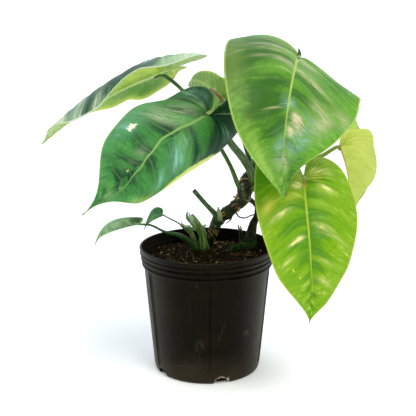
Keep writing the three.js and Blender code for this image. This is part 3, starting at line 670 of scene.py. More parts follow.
leafC = {
    "base": (103.5, -38.5, 386), "heading": -100.5, "pitch": -2, "turn": -14, "droop": 107, "droopPower": 1,
    "roll": 38, "twist": 1, "length": 202, "lobe": 43, "lobeFull": 0.46, "lobeLift": 9,
    "widest": 0.17, "full": 0.66, "tip": 0.14,
    "left": {"width": 89, "lobe": 1, "fold": 0, "curl": (8, -26), "edge": (0, 0, 3, -3, 0, 2, -2)},
    "right": {"width": 82, "lobe": 1, "fold": 8, "curl": (-65, -1), "edge": (0, 0, 0, 0, 0, 2, 2)},
    "quilt": {"veins": 17, "depth": 1.7, "fade": 1.0, "crinkle": 0.6},
    "ripple": {"count": 3, "height": 1.0, "phase": 0.6},
    "groove": 1.2, "rib": 2.3,
    "top": {
        **deepTop, "base": "66a02e", "dark": "34681a", "pale": "d2cba2", "edge": "70b034", "rib": "b0cc62",
        "yellow": "cfe076", "cool": "8ab8a4", "streaks": 1.9, "edgeStart": 0.6, "margin": 0.5,
    },
    "under": backlitPaleUnder,
    "patches": {
        "dark": [(0.58, -0.85, 0.12, 0.3, 0.25), (0.68, -0.38, 0.03, 0.3, 0.7),
                 (0.718, -0.6, 0.03, 0.2, 0.7), (0.76, -0.2, 0.035, 0.25, 0.7),
                 (0.793, -0.48, 0.02, 0.22, 0.5), (0.72, -0.4, 0.06, 0.5, 0.4),
                 (0.6, -0.65, 0.035, 0.4, 0.7), (0.52, -0.6, 0.05, 0.35, 0.7), (0.63, 0.3, 0.03, 0.4, 0.45),
                 (0.68, 0.2, 0.025, 0.25, 0.5), (0.9, 0.75, 0.06, 0.45, 0.6), (0.5, 0.6, 0.06, 0.3, 0.4),
                 (0.83, 0.1, 0.05, 0.5, 0.4), (0.6, -0.95, 0.06, 0.25, 0.5)],
        "pale": [(0.7, 0.66, 0.05, 0.15, 0.6), (0.67, 0.5, 0.02, 0.15, 0.5), (0.74, 0.2, 0.014, 0.1, 1.5),
                 (0.78, 0.12, 0.02, 0.08, 1.1), (0.76, 0.3, 0.02, 0.12, 0.7),
                 (0.726, -0.3, 0.002, 0.2, 0.5), (0.602, -0.3, 0.006, 0.3, 0.6),
                 (0.565, -0.4, 0.006, 0.35, 0.5), (0.535, -0.35, 0.005, 0.3, 0.5),
                 (0.58, -0.5, 0.004, 0.4, 0.5), (0.63, -0.6, 0.008, 0.3, 0.15),
                 (0.87, -0.4, 0.03, 0.3, 0.15), (0.63, 0.9, 0.03, 0.15, 0.5), (0.61, 0.25, 0.008, 0.3, 0.9),
                 (0.55, 0.15, 0.03, 0.15, 0.5), (0.87, 0.12, 0.03, 0.2, 0.5)],
        "cool": [(0.76, 0.5, 0.05, 0.2, 0.6), (0.82, 0.3, 0.05, 0.3, 0.5), (0.71, -0.02, 0.014, 0.12, 0.8),
                 (0.84, -0.2, 0.04, 0.2, 0.5)],
        "yellow": [(0.85, -0.85, 0.1, 0.12, 0.3), (0.6, -0.9, 0.1, 0.15, 0.15)],
    },
}
leafD = {
    "base": (109, -70, 251.3), "heading": -86, "pitch": -47, "turn": 11, "droop": 49, "droopPower": 1,
    "roll": 13, "twist": -7, "length": 165, "lobe": 33, "lobeFull": 0.43, "lobeLift": 11,
    "widest": 0.21, "full": 0.59, "tip": 0.18,
    "left": {"width": 63, "lobe": 1, "fold": 15, "curl": (-35, -38), "edge": (2, -1, 1, 0, -1, 3, 5)},
    "right": {"width": 66, "lobe": 1, "fold": 19, "curl": (-17, -8), "edge": (0, 0, 3, 0, -2, 2, 1)},
    "quilt": {"veins": 19, "depth": 1.9, "fade": 1.3, "crinkle": 0.5},
    "ripple": {"count": 3, "height": 1.0, "phase": 0.2},
    "groove": 1.0, "rib": 2.0, "ribSway": (0, 0.2, 0.8, 1.2, 1.4, 2.6, 2.2),
    "top": limeTop,
    "under": {**backlitPaleUnder, "base": "b4d44c"},
    "patches": {
        "dark": [(0.67, 0.16, 0.12, 0.35, 0.6), (0.68, -0.22, 0.12, 0.4, 0.5),
                 (0.635, 0.26, 0.014, 0.22, 0.3), (0.692, 0.18, 0.016, 0.22, 0.35),
                 (0.77, 0.2, 0.03, 0.22, 0.4), (0.605, -0.3, 0.012, 0.3, 0.3),
                 (0.64, -0.37, 0.01, 0.3, 0.3), (0.71, -0.3, 0.012, 0.35, 0.3),
                 (0.54, 0.15, 0.02, 0.18, 0.45), (0.555, -0.41, 0.015, 0.25, 0.3),
                 (0.88, 0.15, 0.08, 0.3, 0.35), (0.45, -0.82, 0.07, 0.25, 1), (0.47, 0.3, 0.03, 0.25, 0.5),
                 (0.1, -0.8, 0.05, 0.3, 0.4)],
        "pale": [(0.645, 0.33, 0.006, 0.16, 1.2), (0.6, -0.55, 0.007, 0.2, 0.8),
                 (0.69, -0.42, 0.004, 0.12, 1.2), (0.725, -0.64, 0.006, 0.16, 0.7),
                 (0.24, 0.35, 0.05, 0.12, 0.9), (0.33, 0.36, 0.02, 0.08, 1.1),
                 (0.53, 0.4, 0.009, 0.12, 1.2), (0.543, -0.15, 0.008, 0.12, 1.2),
                 (0.35, 0.5, 0.05, 0.15, 0.5), (0.82, 0.5, 0.012, 0.3, 0.5), (0.2, 0.85, 0.08, 0.2, 0.4),
                 (0.66, 0.55, 0.008, 0.3, 0.4), (0.75, 0.45, 0.008, 0.3, 0.4),
                 (0.685, -0.24, 0.007, 0.13, 0.9)],
        "yellow": [(0.565, -0.8, 0.012, 0.12, 0.9), (0.57, -0.3, 0.012, 0.2, 0.3),
                   (0.35, 0.25, 0.15, 0.1, 0.4), (0.5, -0.1, 0.03, 0.1, 0.3)],
    },
    "blemishes": [
        (0.762, -0.6, (0.005, 0.02), "e6d84a", 0.3), (0.8, -0.46, (0.005, 0.022), "e2d456", 0.3),
        (0.55, -0.42, (0.016, 0.02), "8a6a34", 0.8), (0.88, 0.06, (0.006, 0.02), "a98a3c", 0.4),
    ],
}
leafE = {
    "base": (159, 0, 277), "heading": -9, "pitch": -69, "turn": 0, "droop": 22, "droopPower": 1,
    "roll": 2, "twist": -10, "length": 85, "lobe": 20, "lobeFull": 0.49, "lobeLift": -5,
    "widest": 0.18, "full": 0.5, "tip": 0.12,
    "left": {"width": 53, "lobe": 1, "fold": 54, "curl": (-42, -38), "edge": (-2, 9, 1, 0, -1, -1, -1)},
    "right": {"width": 50, "lobe": 1, "fold": 55, "curl": (-4, -54), "edge": (0, -1, 6, 0, 1, -1, 0)},
    "swells": [(0.36, 0.5, 0.06, 0.5, 2.5), (0.5, 0.6, 0.05, 0.4, -2.5), (0.7, 0.5, 0.06, 0.4, 1.5)],
    "quilt": {"veins": 13, "depth": 1.8, "fade": 0.6}, "ripple": {"count": 3, "height": 1.8, "phase": 0.4},
    "groove": 0.7, "rib": 1.7,
    "top": {**limeTop, "base": "9cc636", "dark": "78aa2a", "rib": "c8b45c"},
    # this underside is raised close to full brightness as painted light shining through
    "under": {**backlitPaleUnder, "base": "f2fa80", "dark": "c8e058", "edge": "f6fe88", "rib": "d0b478",
              "vein": 0.1, "streaks": 1.6},
    "underPatches": {
        "dark": [(0.6, 0.1, 0.2, 0.15, 0.4), (0.46, 0.55, 0.03, 0.3, 0.5), (0.62, 0.7, 0.05, 0.3, 0.4)],
        "pale": [(0.55, 0.4, 0.03, 0.3, 0.6)],
        "yellow": [(0.4, 0.6, 0.05, 0.3, 0.4), (0.7, 0.4, 0.05, 0.4, 0.3)],
    },
}
leafF = {
    "base": (17.5, 38, 330), "heading": 121, "pitch": 23, "turn": -29, "droop": 47, "droopPower": 1,
    "roll": -99, "twist": -2, "length": 130, "lobe": 21, "lobeFull": 0.46, "lobeLift": 0,
    "widest": 0.23, "full": 0.45, "tip": 0.11,
    "left": {"width": 22, "lobe": 1, "fold": 14, "curl": (-5, -12), "edge": (0, 0, 5, -3, -4, -3, 0)},
    "right": {"width": 38, "lobe": 1, "fold": 10, "curl": (-30, -20), "edge": (0, 0, 0, 0, 0, 0, 0)},
    "quilt": {"veins": 15, "depth": 1.0, "fade": 0.8}, "ripple": {"count": 3, "height": 0.8, "phase": 0.1},
    "groove": 0.7, "rib": 2.0,
    "top": {**deepTop, "base": "5c9440"},
    "under": {**backlitPaleUnder, "base": "7ca244", "dark": "4c7a34", "rib": "9cb058", "streaks": 1.8},
}
youngLeafA = {
    "base": (-81, -21.5, 188), "heading": 173, "pitch": -11, "turn": -5, "droop": 60, "droopPower": 2.3,
    "roll": 22, "twist": 13, "length": 66, "lobe": 5, "lobeFull": 0.41, "lobeLift": 6,
    "widest": 0.3, "full": 0.46, "tip": 0.16,
    "left": {"width": 12, "lobe": 1, "fold": 30, "curl": (-9, -16), "edge": (0, 0, 0, 0, 0, 0, 0)},
    "right": {"width": 13.5, "lobe": 1, "fold": 28, "curl": (-49, -16), "edge": (0, 0, 0, 0, 0, 0, 0)},
    "quilt": {"veins": 9, "depth": 0.3, "fade": 0.8, "crinkle": 0.1},
    "ripple": {"count": 2, "height": 0.3, "phase": 0},
    "groove": 0.3, "rib": 0.9,
    "top": {**deepTop, "base": "98c486", "dark": "48684a", "pale": "cfe0c4", "edge": "a2c68c",
            "rib": "b8d4a0"},
    "under": {**backlitPaleUnder, "base": "9cc08a", "dark": "74a06a", "pale": "b9d3a8"},
    "patches": {
        "dark": [(0.38, -0.5, 0.09, 0.6, 1.2), (0.5, 0.6, 0.12, 0.4, 0.6)],
        "pale": [(0.64, -0.3, 0.08, 0.4, 0.6), (0.95, 0, 0.06, 1, 0.5)],
        "cool": [(0.7, -0.9, 0.15, 0.25, 0.7)],
    },
}
youngLeafB = {
    "base": (-55, 10.5, 191.5), "heading": -135, "pitch": 7, "turn": 0, "droop": 60, "droopPower": 0.8,
    "roll": 52, "twist": 2, "length": 35, "lobe": 2.5, "lobeFull": 0.39, "lobeLift": 3,
    "widest": 0.2, "full": 0.22, "tip": 0.05,
    "left": {"width": 4, "lobe": 1, "fold": 20, "curl": (-40, -20), "edge": (0, 0, 0, 0, 0, 0, 0)},
    "right": {"width": 9.5, "lobe": 1, "fold": 25, "curl": (-27, -17), "edge": (0, 0, 0, 0, 0, 0, 0)},
    "quilt": {"veins": 7, "depth": 0.2, "fade": 0.8, "crinkle": 0.1},
    "ripple": {"count": 2, "height": 0.2, "phase": 0},
    "groove": 0.3, "rib": 0.8,
    "top": {**deepTop, "base": "68a46c", "dark": "34684a", "pale": "a0c8aa", "edge": "70a478",
            "rib": "96bc92"},
    "under": {**backlitPaleUnder, "base": "86b07c", "dark": "6a9a62"},
    "patches": {
        "dark": [(0.45, -0.4, 0.15, 0.6, 0.6)],
        "pale": [(0.76, 0, 0.1, 0.5, 0.8)],
        "cool": [(0.6, -1, 0.2, 0.2, 0.6)],
    },
}

blades = [
    ("leafABlade", "leaf_a_blade", leafA, "dark_blade"),
    ("leafBBlade", "leaf_b_blade", leafB, "dark_blade"),
    ("leafCBlade", "leaf_c_blade", leafC, "mid_blade"),
    ("leafDBlade", "leaf_d_blade", leafD, "lime_blade"),
    ("leafEBlade", "leaf_e_blade", leafE, "pale_blade"),
    ("leafFBlade", "leaf_f_blade", leafF, "pale_blade"),
    ("youngLeafABlade", "young_leaf_a_blade", youngLeafA, "dark_blade"),
    ("youngLeafBBlade", "young_leaf_b_blade", youngLeafB, "dark_blade"),
]
for bladeName, nodeName, leaf, slotName in blades:
    makeBlade(bladeName, nodeName, leaf, slotName)
print("blades made:", len(blades))

# Stem, stalks and roots: tubes that follow a route of (x, y, z, radius)
limbBuild = {
    "spacing": 1.3, "sides": 20, "spanSteps": 24, "leastRings": 5, "capRings": 6, "capArc": (0.1, 1.5),
    "roundness": 0.995, "bump": (0, 200), "scarBlur": 1.1,
}
strandBuild = {"tip": 0.05, "bump": (0.3, 600)}


def smoothRoute(route):
    knots = np.array(route, float)
    padded = np.vstack([2 * knots[0] - knots[1], knots, 2 * knots[-1] - knots[-2]])
    spans = []
    for i in range(len(knots) - 1):
        p = padded[i:i + 4]
        g = np.sqrt(np.linalg.norm(np.diff(p[:, :3], axis=0), axis=1))
        leave = ((p[1] - p[0]) / g[0] - (p[2] - p[0]) / (g[0] + g[1]) + (p[2] - p[1]) / g[1]) * g[1]
        reach = ((p[2] - p[1]) / g[1] - (p[3] - p[1]) / (g[1] + g[2]) + (p[3] - p[2]) / g[2]) * g[1]
        u = np.linspace(0, 1, limbBuild["spanSteps"], endpoint=False)[:, None]
        spans.append((2 * u ** 3 - 3 * u ** 2 + 1) * p[1] + (u ** 3 - 2 * u ** 2 + u) * leave
                     + (3 * u ** 2 - 2 * u ** 3) * p[2] + (u ** 3 - u ** 2) * reach)
    line = np.vstack([*spans, knots[-1:]])
    far = np.append(0, np.cumsum(np.linalg.norm(np.diff(line[:, :3], axis=0), axis=1)))
    at = np.linspace(0, far[-1], max(int(far[-1] / limbBuild["spacing"]), limbBuild["leastRings"]))
    towardsEnd = 1 - np.sin(np.linspace(*limbBuild["capArc"], limbBuild["capRings"]))
    cap = far[-1] - min(knots[-1, 3], far[-1] / 2) * towardsEnd
    at = np.unique(np.concatenate([at, cap]))
    smooth = np.stack([np.interp(at, far, line[:, i]) for i in range(4)], axis=1)
    return smooth, at, far[-1]


def makeLimbTree():
    tree, given, result = newTree("limbAlongRoute", "GeometryNodeTree", {
        "Geometry": "route", "Int": "sides", "Float": "flutes fluteDepth bumpHeight bumpScale seed",
        "Material": "material"}, {"Geometry": "mesh"})

    def marked(curve, name):  # keeps how far each point lies along the curve, from 0 to 1
        share = geo(tree, "SplineParameter", output="Factor")
        return geo(tree, "StoreNamedAttribute", {"Geometry": curve, "Name": name, "Value": share})

    circle = geo(tree, "CurvePrimitiveCircle", {"Resolution": given["sides"], "Radius": 1.0})
    tube = geo(tree, "CurveToMesh", {
        "Curve": marked(given["route"], "limbAlong"), "Profile Curve": marked(circle, "limbAround"),
        "Fill Caps": True, "Scale": geo(tree, "InputRadius")})
    turn = geo(tree, "InputNamedAttribute", {"Name": "limbAround"}, "Attribute")
    wave = calc("COSINE", turn * given["flutes"] * (2 * math.pi))
    shift = join(given["seed"], 0.0, 0.0)
    place = flow(tree, "ShaderNodeVectorMath", {0: geo(tree, "InputPosition"), 1: shift})
    rough = noiseAt(place, given["bumpScale"], 4, 0.6) - 0.5
    lift = wave * given["fluteDepth"] + rough * given["bumpHeight"]
    offset = flow(tree, "ShaderNodeVectorMath", {0: geo(tree, "InputNormal"), 3: lift}, operation="SCALE")
    shaped = geo(tree, "SetPosition", {"Geometry": tube, "Offset": offset})
    smooth = geo(tree, "SetShadeSmooth", {"Geometry": shaped})
    real = geo(tree, "RealizeInstances", {"Geometry": smooth})
    plug(geo(tree, "SetMaterial", {"Geometry": real, "Material": given["material"]}), result["mesh"])
    return tree


limbTree = makeLimbTree()


# Runs a node tree on an object and keeps only the resulting mesh, under the given name
def meshFromNodes(name, source, tree, values):
    modifier = source.modifiers.new("nodes", "NODES")
    modifier.node_group = tree
    for socket in tree.interface.items_tree:
        if socket.in_out == "INPUT" and socket.name in values:
            modifier[socket.identifier] = values[socket.name]
    mesh = evaluated(source)
    source.modifiers.remove(modifier)
    bpy.data.objects.remove(source)
    mesh.name = name
    return newObject(name, mesh)


def routesToCurve(name, routes):
    curve = bpy.data.curves.new(name + "Route", "CURVE")
    curve.dimensions = "3D"
    for route in routes:
        line = curve.splines.new("POLY")
        line.points.add(len(route) - 1)
        line.points.foreach_set("co", np.column_stack([route[:, :3] * mm, np.ones(len(route))]).ravel())
        line.points.foreach_set("radius", route[:, 3] * mm)
    return newObject(name + "Route", curve)


def makeLimb(name, limb, material):
    route, at, length = smoothRoute(limb["route"])
    scars = limb.get("scars", [])
    for share, height, spread in scars:
        route[:, 3] += height * np.exp(-((at / length - share) / spread) ** 2)
    if limb.get("rounded", True):
        radius = limb["route"][-1][3]
        past = np.clip((at - length + radius) / radius, 0, limbBuild["roundness"])
        route[:, 3] *= np.sqrt(1 - past ** 2)
    flutes, fluteDepth = limb.get("flutes", (0, 0))
    bumpHeight, bumpScale = limb.get("bump", limbBuild["bump"])
    piece = meshFromNodes(name, routesToCurve(name, [route]), limbTree, {
        "sides": limb.get("sides", limbBuild["sides"]), "flutes": float(flutes),
        "fluteDepth": fluteDepth * mm, "bumpHeight": bumpHeight * mm, "bumpScale": float(bumpScale),
        "seed": 0.1 * len(name), "material": material})
    share = np.zeros(len(piece.data.vertices))
    piece.data.attributes["limbAlong"].data.foreach_get("value", share)
    scarred = np.zeros(len(share))
    for place, _, spread in scars:
        scarred += np.exp(-((share - place) / (limbBuild["scarBlur"] * spread)) ** 2)
    giveValues(piece.data, "limbScar", np.minimum(scarred, 1))
    points = pointsOf(piece) / mm
    # the "dark" spots are painted shade, kept in limbShade
    tone = {kind: np.zeros(len(points)) for kind in ("pale", "rust", "green", "dark")}
    for kind, marks in limb.get("spots", {}).items():
        for *centre, size, strength in marks:
            tone[kind] += strength * np.exp(-(np.linalg.norm(points - centre, axis=1) / size) ** 2)
    giveVectors(piece.data, "limbSpots", np.stack([tone["pale"], tone["rust"], tone["green"]], axis=1))
    giveValues(piece.data, "limbShade", tone["dark"])
    return piece


# Thin fibres, torn strips and rootlets: each route is a short list of (x, y, z, radius)
def makeStrands(name, routes, material, sides=6):
    smooth = [smoothRoute(route)[0] for route in routes]
    for route in smooth:
        route[-1, 3] = strandBuild["tip"]
    bumpHeight, bumpScale = strandBuild["bump"]
    return meshFromNodes(name, routesToCurve(name, smooth), limbTree, {
        "sides": sides, "bumpHeight": bumpHeight * mm, "bumpScale": float(bumpScale), "material": material})


# Strews small shapes over the part of a surface that the attribute "strewn" allows
def makeStrewTree():
    tree, given, result = newTree("strewOver", "GeometryNodeTree", {
        "Geometry": "host", "Collection": "variants", "Int": "seed",
        "Float": "density scaleMin scaleMax tilt lift"}, {"Geometry": "mesh"})
    allowed = geo(tree, "InputNamedAttribute", {"Name": "strewn"}, "Attribute")
    points = newNode(tree, "GeometryNodeDistributePointsOnFaces", {
        0: given["host"], 4: allowed * given["density"], 6: given["seed"]}).outputs
    shapes = geo(tree, "CollectionInfo", {0: given["variants"], 1: True, 2: True})

    def draw(low, high, step):
        return flow(tree, "FunctionNodeRandomValue", {2: low, 3: high, 8: given["seed"] + step}, 1)

    placed = geo(tree, "InstanceOnPoints", {
        "Points": Flow(points[0]), "Instance": shapes, "Pick Instance": True,
        "Rotation": Flow(points["Rotation"]), "Scale": draw(given["scaleMin"], given["scaleMax"], 1)})
    back, fullTurn = given["tilt"] * -1, 6.28
    turn = join(draw(back, given["tilt"], 2), draw(back, given["tilt"], 3), draw(0.0, fullTurn, 4))
    turned = geo(tree, "RotateInstances", {"Instances": placed, "Rotation": turn})
    lift = join(0.0, 0.0, given["lift"])
    moved = geo(tree, "TranslateInstances", {"Instances": turned, "Translation": lift})
    toned = geo(tree, "StoreNamedAttribute", {
        "Geometry": moved, "Name": "strewTone", "Value": draw(0.01, 1.0, 5)}, domain="INSTANCE")
    both = newNode(tree, "GeometryNodeJoinGeometry")
    for part in (geo(tree, "RealizeInstances", {"Geometry": toned}), given["host"]):
        plug(part, both.inputs[0])
    plug(Flow(both.outputs[0]), result["mesh"])
    return tree


strewTree = makeStrewTree()


# Strews a layer over a piece. "allowed" gives 0 to 1 for points in mm, and shapes strewn before get none.
def strew(piece, allowed, layer):
    mesh, name = piece.data, piece.name
    tone = np.zeros(len(mesh.vertices))
    if "strewTone" in mesh.attributes:
        mesh.attributes["strewTone"].data.foreach_get("value", tone)
        mesh.attributes.remove(mesh.attributes["strewn"])
    giveValues(mesh, "strewn", allowed(*pointsOf(piece).T / mm) * (tone == 0))
    shapes = bpy.data.collections.new(name + "Shapes")
    for shape in layer["shapes"]:
        shapes.objects.link(shape)
    piece.name = name + "Host"
    made = meshFromNodes(name, piece, strewTree, {
        "variants": shapes, "density": layer["perSquareMetre"], "seed": layer["seed"],
        "scaleMin": layer["scale"][0], "scaleMax": layer["scale"][1], "tilt": layer["tilt"],
        "lift": layer["lift"] * mm})
    bpy.data.collections.remove(shapes)
    return made


def newShape(name, mesh, material):  # kept out of the scene, as only copies of it are strewn
    mesh.materials.append(material)
    return bpy.data.objects.new(name, mesh)


crumbDent = 0.8  # how near to the middle a crumb's corners may come, as a share of its size


def makeCrumb(name, size, count, seed, material):  # an angular crumb: the hull of a few random points
    draw = random.Random(seed)
    body = bmesh.new()
    for _ in range(count):
        corner = Vector([draw.gauss(0, 1) for _ in range(3)]).normalized() * draw.uniform(crumbDent, 1)
        body.verts.new([corner[i] * size[i] / 2 * mm for i in range(3)])
    hull = bmesh.ops.convex_hull(body, input=body.verts)
    inside = [part for part in hull["geom_interior"] if isinstance(part, bmesh.types.BMVert)]
    bmesh.ops.delete(body, geom=inside, context="VERTS")
    mesh = bpy.data.meshes.new(name)
    body.to_mesh(mesh)
    body.free()
    return newShape(name, mesh, material)


tuft = {
    "count": 4, "blades": 6, "reach": 1.7, "lean": (0.1, 0.9), "tall": (0.6, 1), "foot": 0.16, "sink": 0.3,
    "cornerTurn": 2.09,
}


def makeTuft(name, seed, material):  # a tuft of moss: slim spikes that lean outwards
    draw = random.Random(seed)
    foot, sink = tuft["foot"] * mm, tuft["sink"] * mm
    points, faces = [], []
    for _ in range(tuft["blades"]):
        turn, lean = draw.uniform(0, 2 * math.pi), draw.uniform(*tuft["lean"])
        tip = Vector((math.cos(turn) * lean, math.sin(turn) * lean, 1)) * tuft["reach"]
        tip *= draw.uniform(*tuft["tall"])
        a = len(points)
        for corner in range(3):
            angle = turn + corner * tuft["cornerTurn"]
            points.append((foot * math.cos(angle), foot * math.sin(angle), -sink))
        points.append(tip * mm)
        faces += [(a + 2, a + 1, a), (a, a + 1, a + 3), (a + 1, a + 2, a + 3), (a + 2, a, a + 3)]
    mesh = bpy.data.meshes.new(name)
    mesh.from_pydata(points, [], faces)
    return newShape(name, mesh, material)


def strewMaterial(name, tones):  # (share, colour) pairs: each strewn shape has its own place in the ramp
    material, tree, shader = newMaterial(name, {"Roughness": 0.9, "Specular IOR Level": 0.1})
    share = attribute(tree, "strewTone", "Fac")
    tone = tones[0][1]
    for place, tint in tones[1:]:
        tone = mixColour(rise(share, place - 0.03, place + 0.03), tone, tint)
    grain = noiseAt(objectPlace(tree), 420, 3, 0.6)
    plug(mixColour(rise(grain, 0.45, 0.7) * 0.35, tone, "120d08"), shader["Base Color"])
    return material


mossMaterial = strewMaterial("mossBlade", [
    (0, "28442a"), (0.4, "3f6a3a"), (0.75, "6a8f52"), (0.92, "a2b87e")])
mossTufts = [makeTuft("tuft" + str(i), i, mossMaterial) for i in range(tuft["count"])]


# Skin of a stalk, stem or root: long streaks, blotches, spots with painted shade among them, and a scar tone
# at its rings and torn ends
def makeLimbTissue():
    tree, given, result = newTree("limbTissue", "ShaderNodeTree", {
        "Vector": "position spots",
        "Float": "along around scarShare shade topStart streaks blotchScale blotches roughness grain",
        "Color": "base dark light scar top pale rust green"}, {"Color": "tone", "Float": "roughness height"})
    turn = given["around"] * (2 * math.pi)
    streak = noiseAt(join(calc("COSINE", turn), calc("SINE", turn), given["along"] * 0.8), 6, 3)
    blotch = noiseAt(given["position"], given["blotchScale"], 4, 0.62)
    grain = noiseAt(given["position"], 900, 3, 0.6)
    shade = (streak - 0.5) * given["streaks"] + (blotch - 0.5) * given["blotches"]
    shade = shade * 2 + 0.5
    tone = mixColour(rise(shade, 0.35, 0.95), given["base"], given["dark"])
    tone = mixColour(1 - rise(shade, 0.05, 0.4), tone, given["light"])
    tone = mixColour(rise(grain, 0.62, 0.7) * 0.35, tone, given["light"])
    top = rise(given["along"] + shade * 0.1, given["topStart"], given["topStart"] + 0.25)
    tone = mixColour(top, tone, given["top"])
    pale, rust, green = split(given["spots"])
    uneven = rise(blotch, 0.4, 0.6) * 0.9 + 0.35
    # painted shade from the dark spots first, then the green, rust and pale spots
    for share, tint in ((given["shade"], "dark"), (green, "green"), (rust, "rust"), (pale, "pale")):
        tone = mixColour(calc("MINIMUM", share * uneven, 0.95), tone, given[tint])
    tone = mixColour(given["scarShare"] * rise(blotch, 0.35, 0.6) * 0.8, tone, given["scar"])
    plug(tone, result["tone"])
    plug(given["roughness"] + (blotch - 0.5) * 0.3, result["roughness"])
    plug(grain * given["grain"] + blotch * given["blotches"], result["height"])
    return tree


limbTissue = makeLimbTissue()
limbLook = {  # what a look may leave out
    "specular": 0.35, "bump": 0.4, "topStart": 2.0, "pale": "a9ae96", "rust": "a5674a", "green": "243e1e",
}


def limbMaterial(name, look):
    look = {**limbLook, "scar": look["light"], "top": look["base"], **look}
    material, tree, shader = newMaterial(name, {"Specular IOR Level": look["specular"]})
    tissue = useGroup(
        tree, limbTissue, **look, position=objectPlace(tree), spots=attribute(tree, "limbSpots"),
        along=attribute(tree, "limbAlong", "Fac"), around=attribute(tree, "limbAround", "Fac"),
        scarShare=attribute(tree, "limbScar", "Fac"), shade=attribute(tree, "limbShade", "Fac"))
    coat(tree, shader, tissue["tone"], tissue["roughness"], tissue["height"], look["bump"])
    return material


greenStalk = {
    "base": "47702f", "dark": "22401c", "light": "7fa04e", "streaks": 1.1, "blotches": 0.4,
    "blotchScale": 90, "roughness": 0.42, "grain": 0.2,
}
barkLook = {
    "base": "2a2816", "dark": "0a0905", "light": "5a6440", "scar": "46301c", "streaks": 0.5, "blotches": 1.9,
    "blotchScale": 150, "roughness": 0.66, "grain": 0.8, "bump": 0.9, "specular": 0.25,
}
rootLook = {
    "base": "251f12", "dark": "0e0b06", "light": "4a4a2c", "streaks": 0.8, "blotches": 1.4,
    "blotchScale": 170, "roughness": 0.8, "grain": 0.9, "bump": 0.8, "specular": 0.2,
}
fibreLook = {
    "base": "a5824f", "dark": "5a3c20", "light": "ddc9a0", "streaks": 1.2, "blotches": 1.0,
    "blotchScale": 300, "roughness": 0.8, "grain": 0.5, "specular": 0.2,
}
mintLook = {
    "base": "cfe3c0", "dark": "8db888", "light": "eef5e2", "streaks": 1.0, "blotches": 0.6,
    "blotchScale": 200, "roughness": 0.6, "grain": 0.3, "specular": 0.3,
}

stem = {
    "route": [
        (-9, 37, 114, 5), (-4.5, 34, 136, 6.3), (-1.5, 32, 144, 6.4), (7.5, 29, 163, 6.3),
        (11, 27, 174, 7.2), (16, 26, 182, 6.6), (24.5, 24, 189, 7.6), (34, 21, 198, 7),
        (43.5, 18, 208, 8.6), (46.5, 15, 220, 9.3), (49.5, 12, 232, 9), (54, 10.5, 243, 6.8),
        (57, 9, 252, 5.4),
    ],
    "scars": [  # place along the stem as a share of its length, height in mm, width as a share
        (0.35, 0.8, 0.01), (0.44, 1, 0.012), (0.53, 0.8, 0.008), (0.62, 1.1, 0.01), (0.72, 1.2, 0.01),
        (0.78, 0.6, 0.006), (0.87, 1, 0.01), (0.9, 0.6, 0.006),
    ],
    "sides": 56, "bump": (3.4, 130),
    "spots": {  # x, y, z, size, strength
        "pale": [(42.3, 6, 229, 2, 1), (43, 6, 223.5, 2, 0.7), (46, 6, 214, 1.4, 0.5),
                 (4, 24, 174, 3, 0.35), (10, 21, 173, 1.6, 0.7)],
        "rust": [(9, 22.5, 166, 2.3, 1.4), (19, 18, 189, 2.5, 0.8), (38.5, 12, 197, 3, 0.8),
                 (38.5, 10, 233, 2.5, 0.6)],
        "green": [(25, 17, 189, 8, 1), (45, 9, 208, 7, 0.8), (9, 22, 178, 7, 0.7)],
        # "dark" spots are painted shade, low by the soil and where the stalks leave the stem
        "dark": [(12, 22, 156, 6, 0.8), (54, 6, 224, 10, 1.3), (37, 14, 205, 5, 0.5)],
    },
    "fibres": [  # dry remains of leaf sheaths around the nodes
        [(38.2, 10, 229, 0.6), (39.4, 6, 233.7, 0.9), (43.6, 3, 237, 1.0), (50, 3, 236.5, 0.8),
         (57, 6, 235, 0.5)],
        [(37.6, 11, 231, 0.4), (36.8, 9, 222, 0.7), (37.4, 8.5, 214, 0.5), (36, 11, 207, 0.3)],
        [(41, 12, 210.5, 1.8), (35.5, 9.5, 212, 1.6), (31.8, 8.5, 213.6, 1.0)],
        [(40, 13, 198.5, 0.6), (37, 13, 194, 0.9), (33.5, 16, 190, 0.6)],
        [(15, 18.5, 187.5, 0.6), (18, 16.5, 190.7, 1.0), (21.5, 16, 192.5, 0.5)],
        [(17, 19, 184, 0.5), (20.5, 16.8, 187.5, 0.8), (23, 16.4, 190, 0.4)],
        [(0.5, 23, 168.6, 0.6), (3.2, 22, 165.4, 1.0), (6.3, 21.8, 161, 0.9), (8.4, 22.5, 158, 0.4)],
        [(2.5, 24, 170, 0.4), (6, 22, 168, 0.7), (10, 21.8, 163.5, 0.8), (12, 22, 160, 0.4)],
        [(9, 22, 169, 0.5), (11.5, 21.8, 166, 0.8), (13, 23, 162, 0.4)],
        [(44, 5.5, 212, 0.4), (49, 5.5, 209, 0.6), (53, 9, 210, 0.3)],
        [(30, 14.5, 199, 0.4), (33, 12.5, 203, 0.7), (38, 9.5, 204, 0.4)],
    ],
}
propRoot = {
    "route": [
        (49, 35, 114, 5), (52, 37, 137, 8.2), (54, 38, 151, 7.2), (57.5, 35, 171, 5.2), (62, 30, 186, 3.4),
        (60, 25, 198, 2.6), (51, 18, 209, 3),
    ],
    "sides": 40, "bump": (2.6, 150),
    "spots": {"green": [(52, 30, 152, 9, 0.8), (56, 28, 170, 5, 0.6)], "rust": [(48, 31, 160, 3, 0.5)]},
    "moss": {"top": 160, "fade": 20, "perSquareMetre": 600000, "seed": 4, "scale": (0.5, 1.1), "tilt": 0.6,
             "lift": 0},
}
aerialRootLong = {
    "route": [
        (35, 20, 193, 1.2), (37, 15, 189, 1), (40, 10.5, 187, 0.9), (46, 9, 186.5, 0.8), (53, 14, 188, 0.8),
        (62, 30, 186, 1),
    ],
    "sides": 12, "bump": (0.4, 500),
}
aerialRootShort = {
    "route": [(31, 22, 188, 1.1), (29, 15, 183, 0.9), (23, 8.5, 179.5, 0.5)],
    "sides": 12, "bump": (0.4, 500),
}

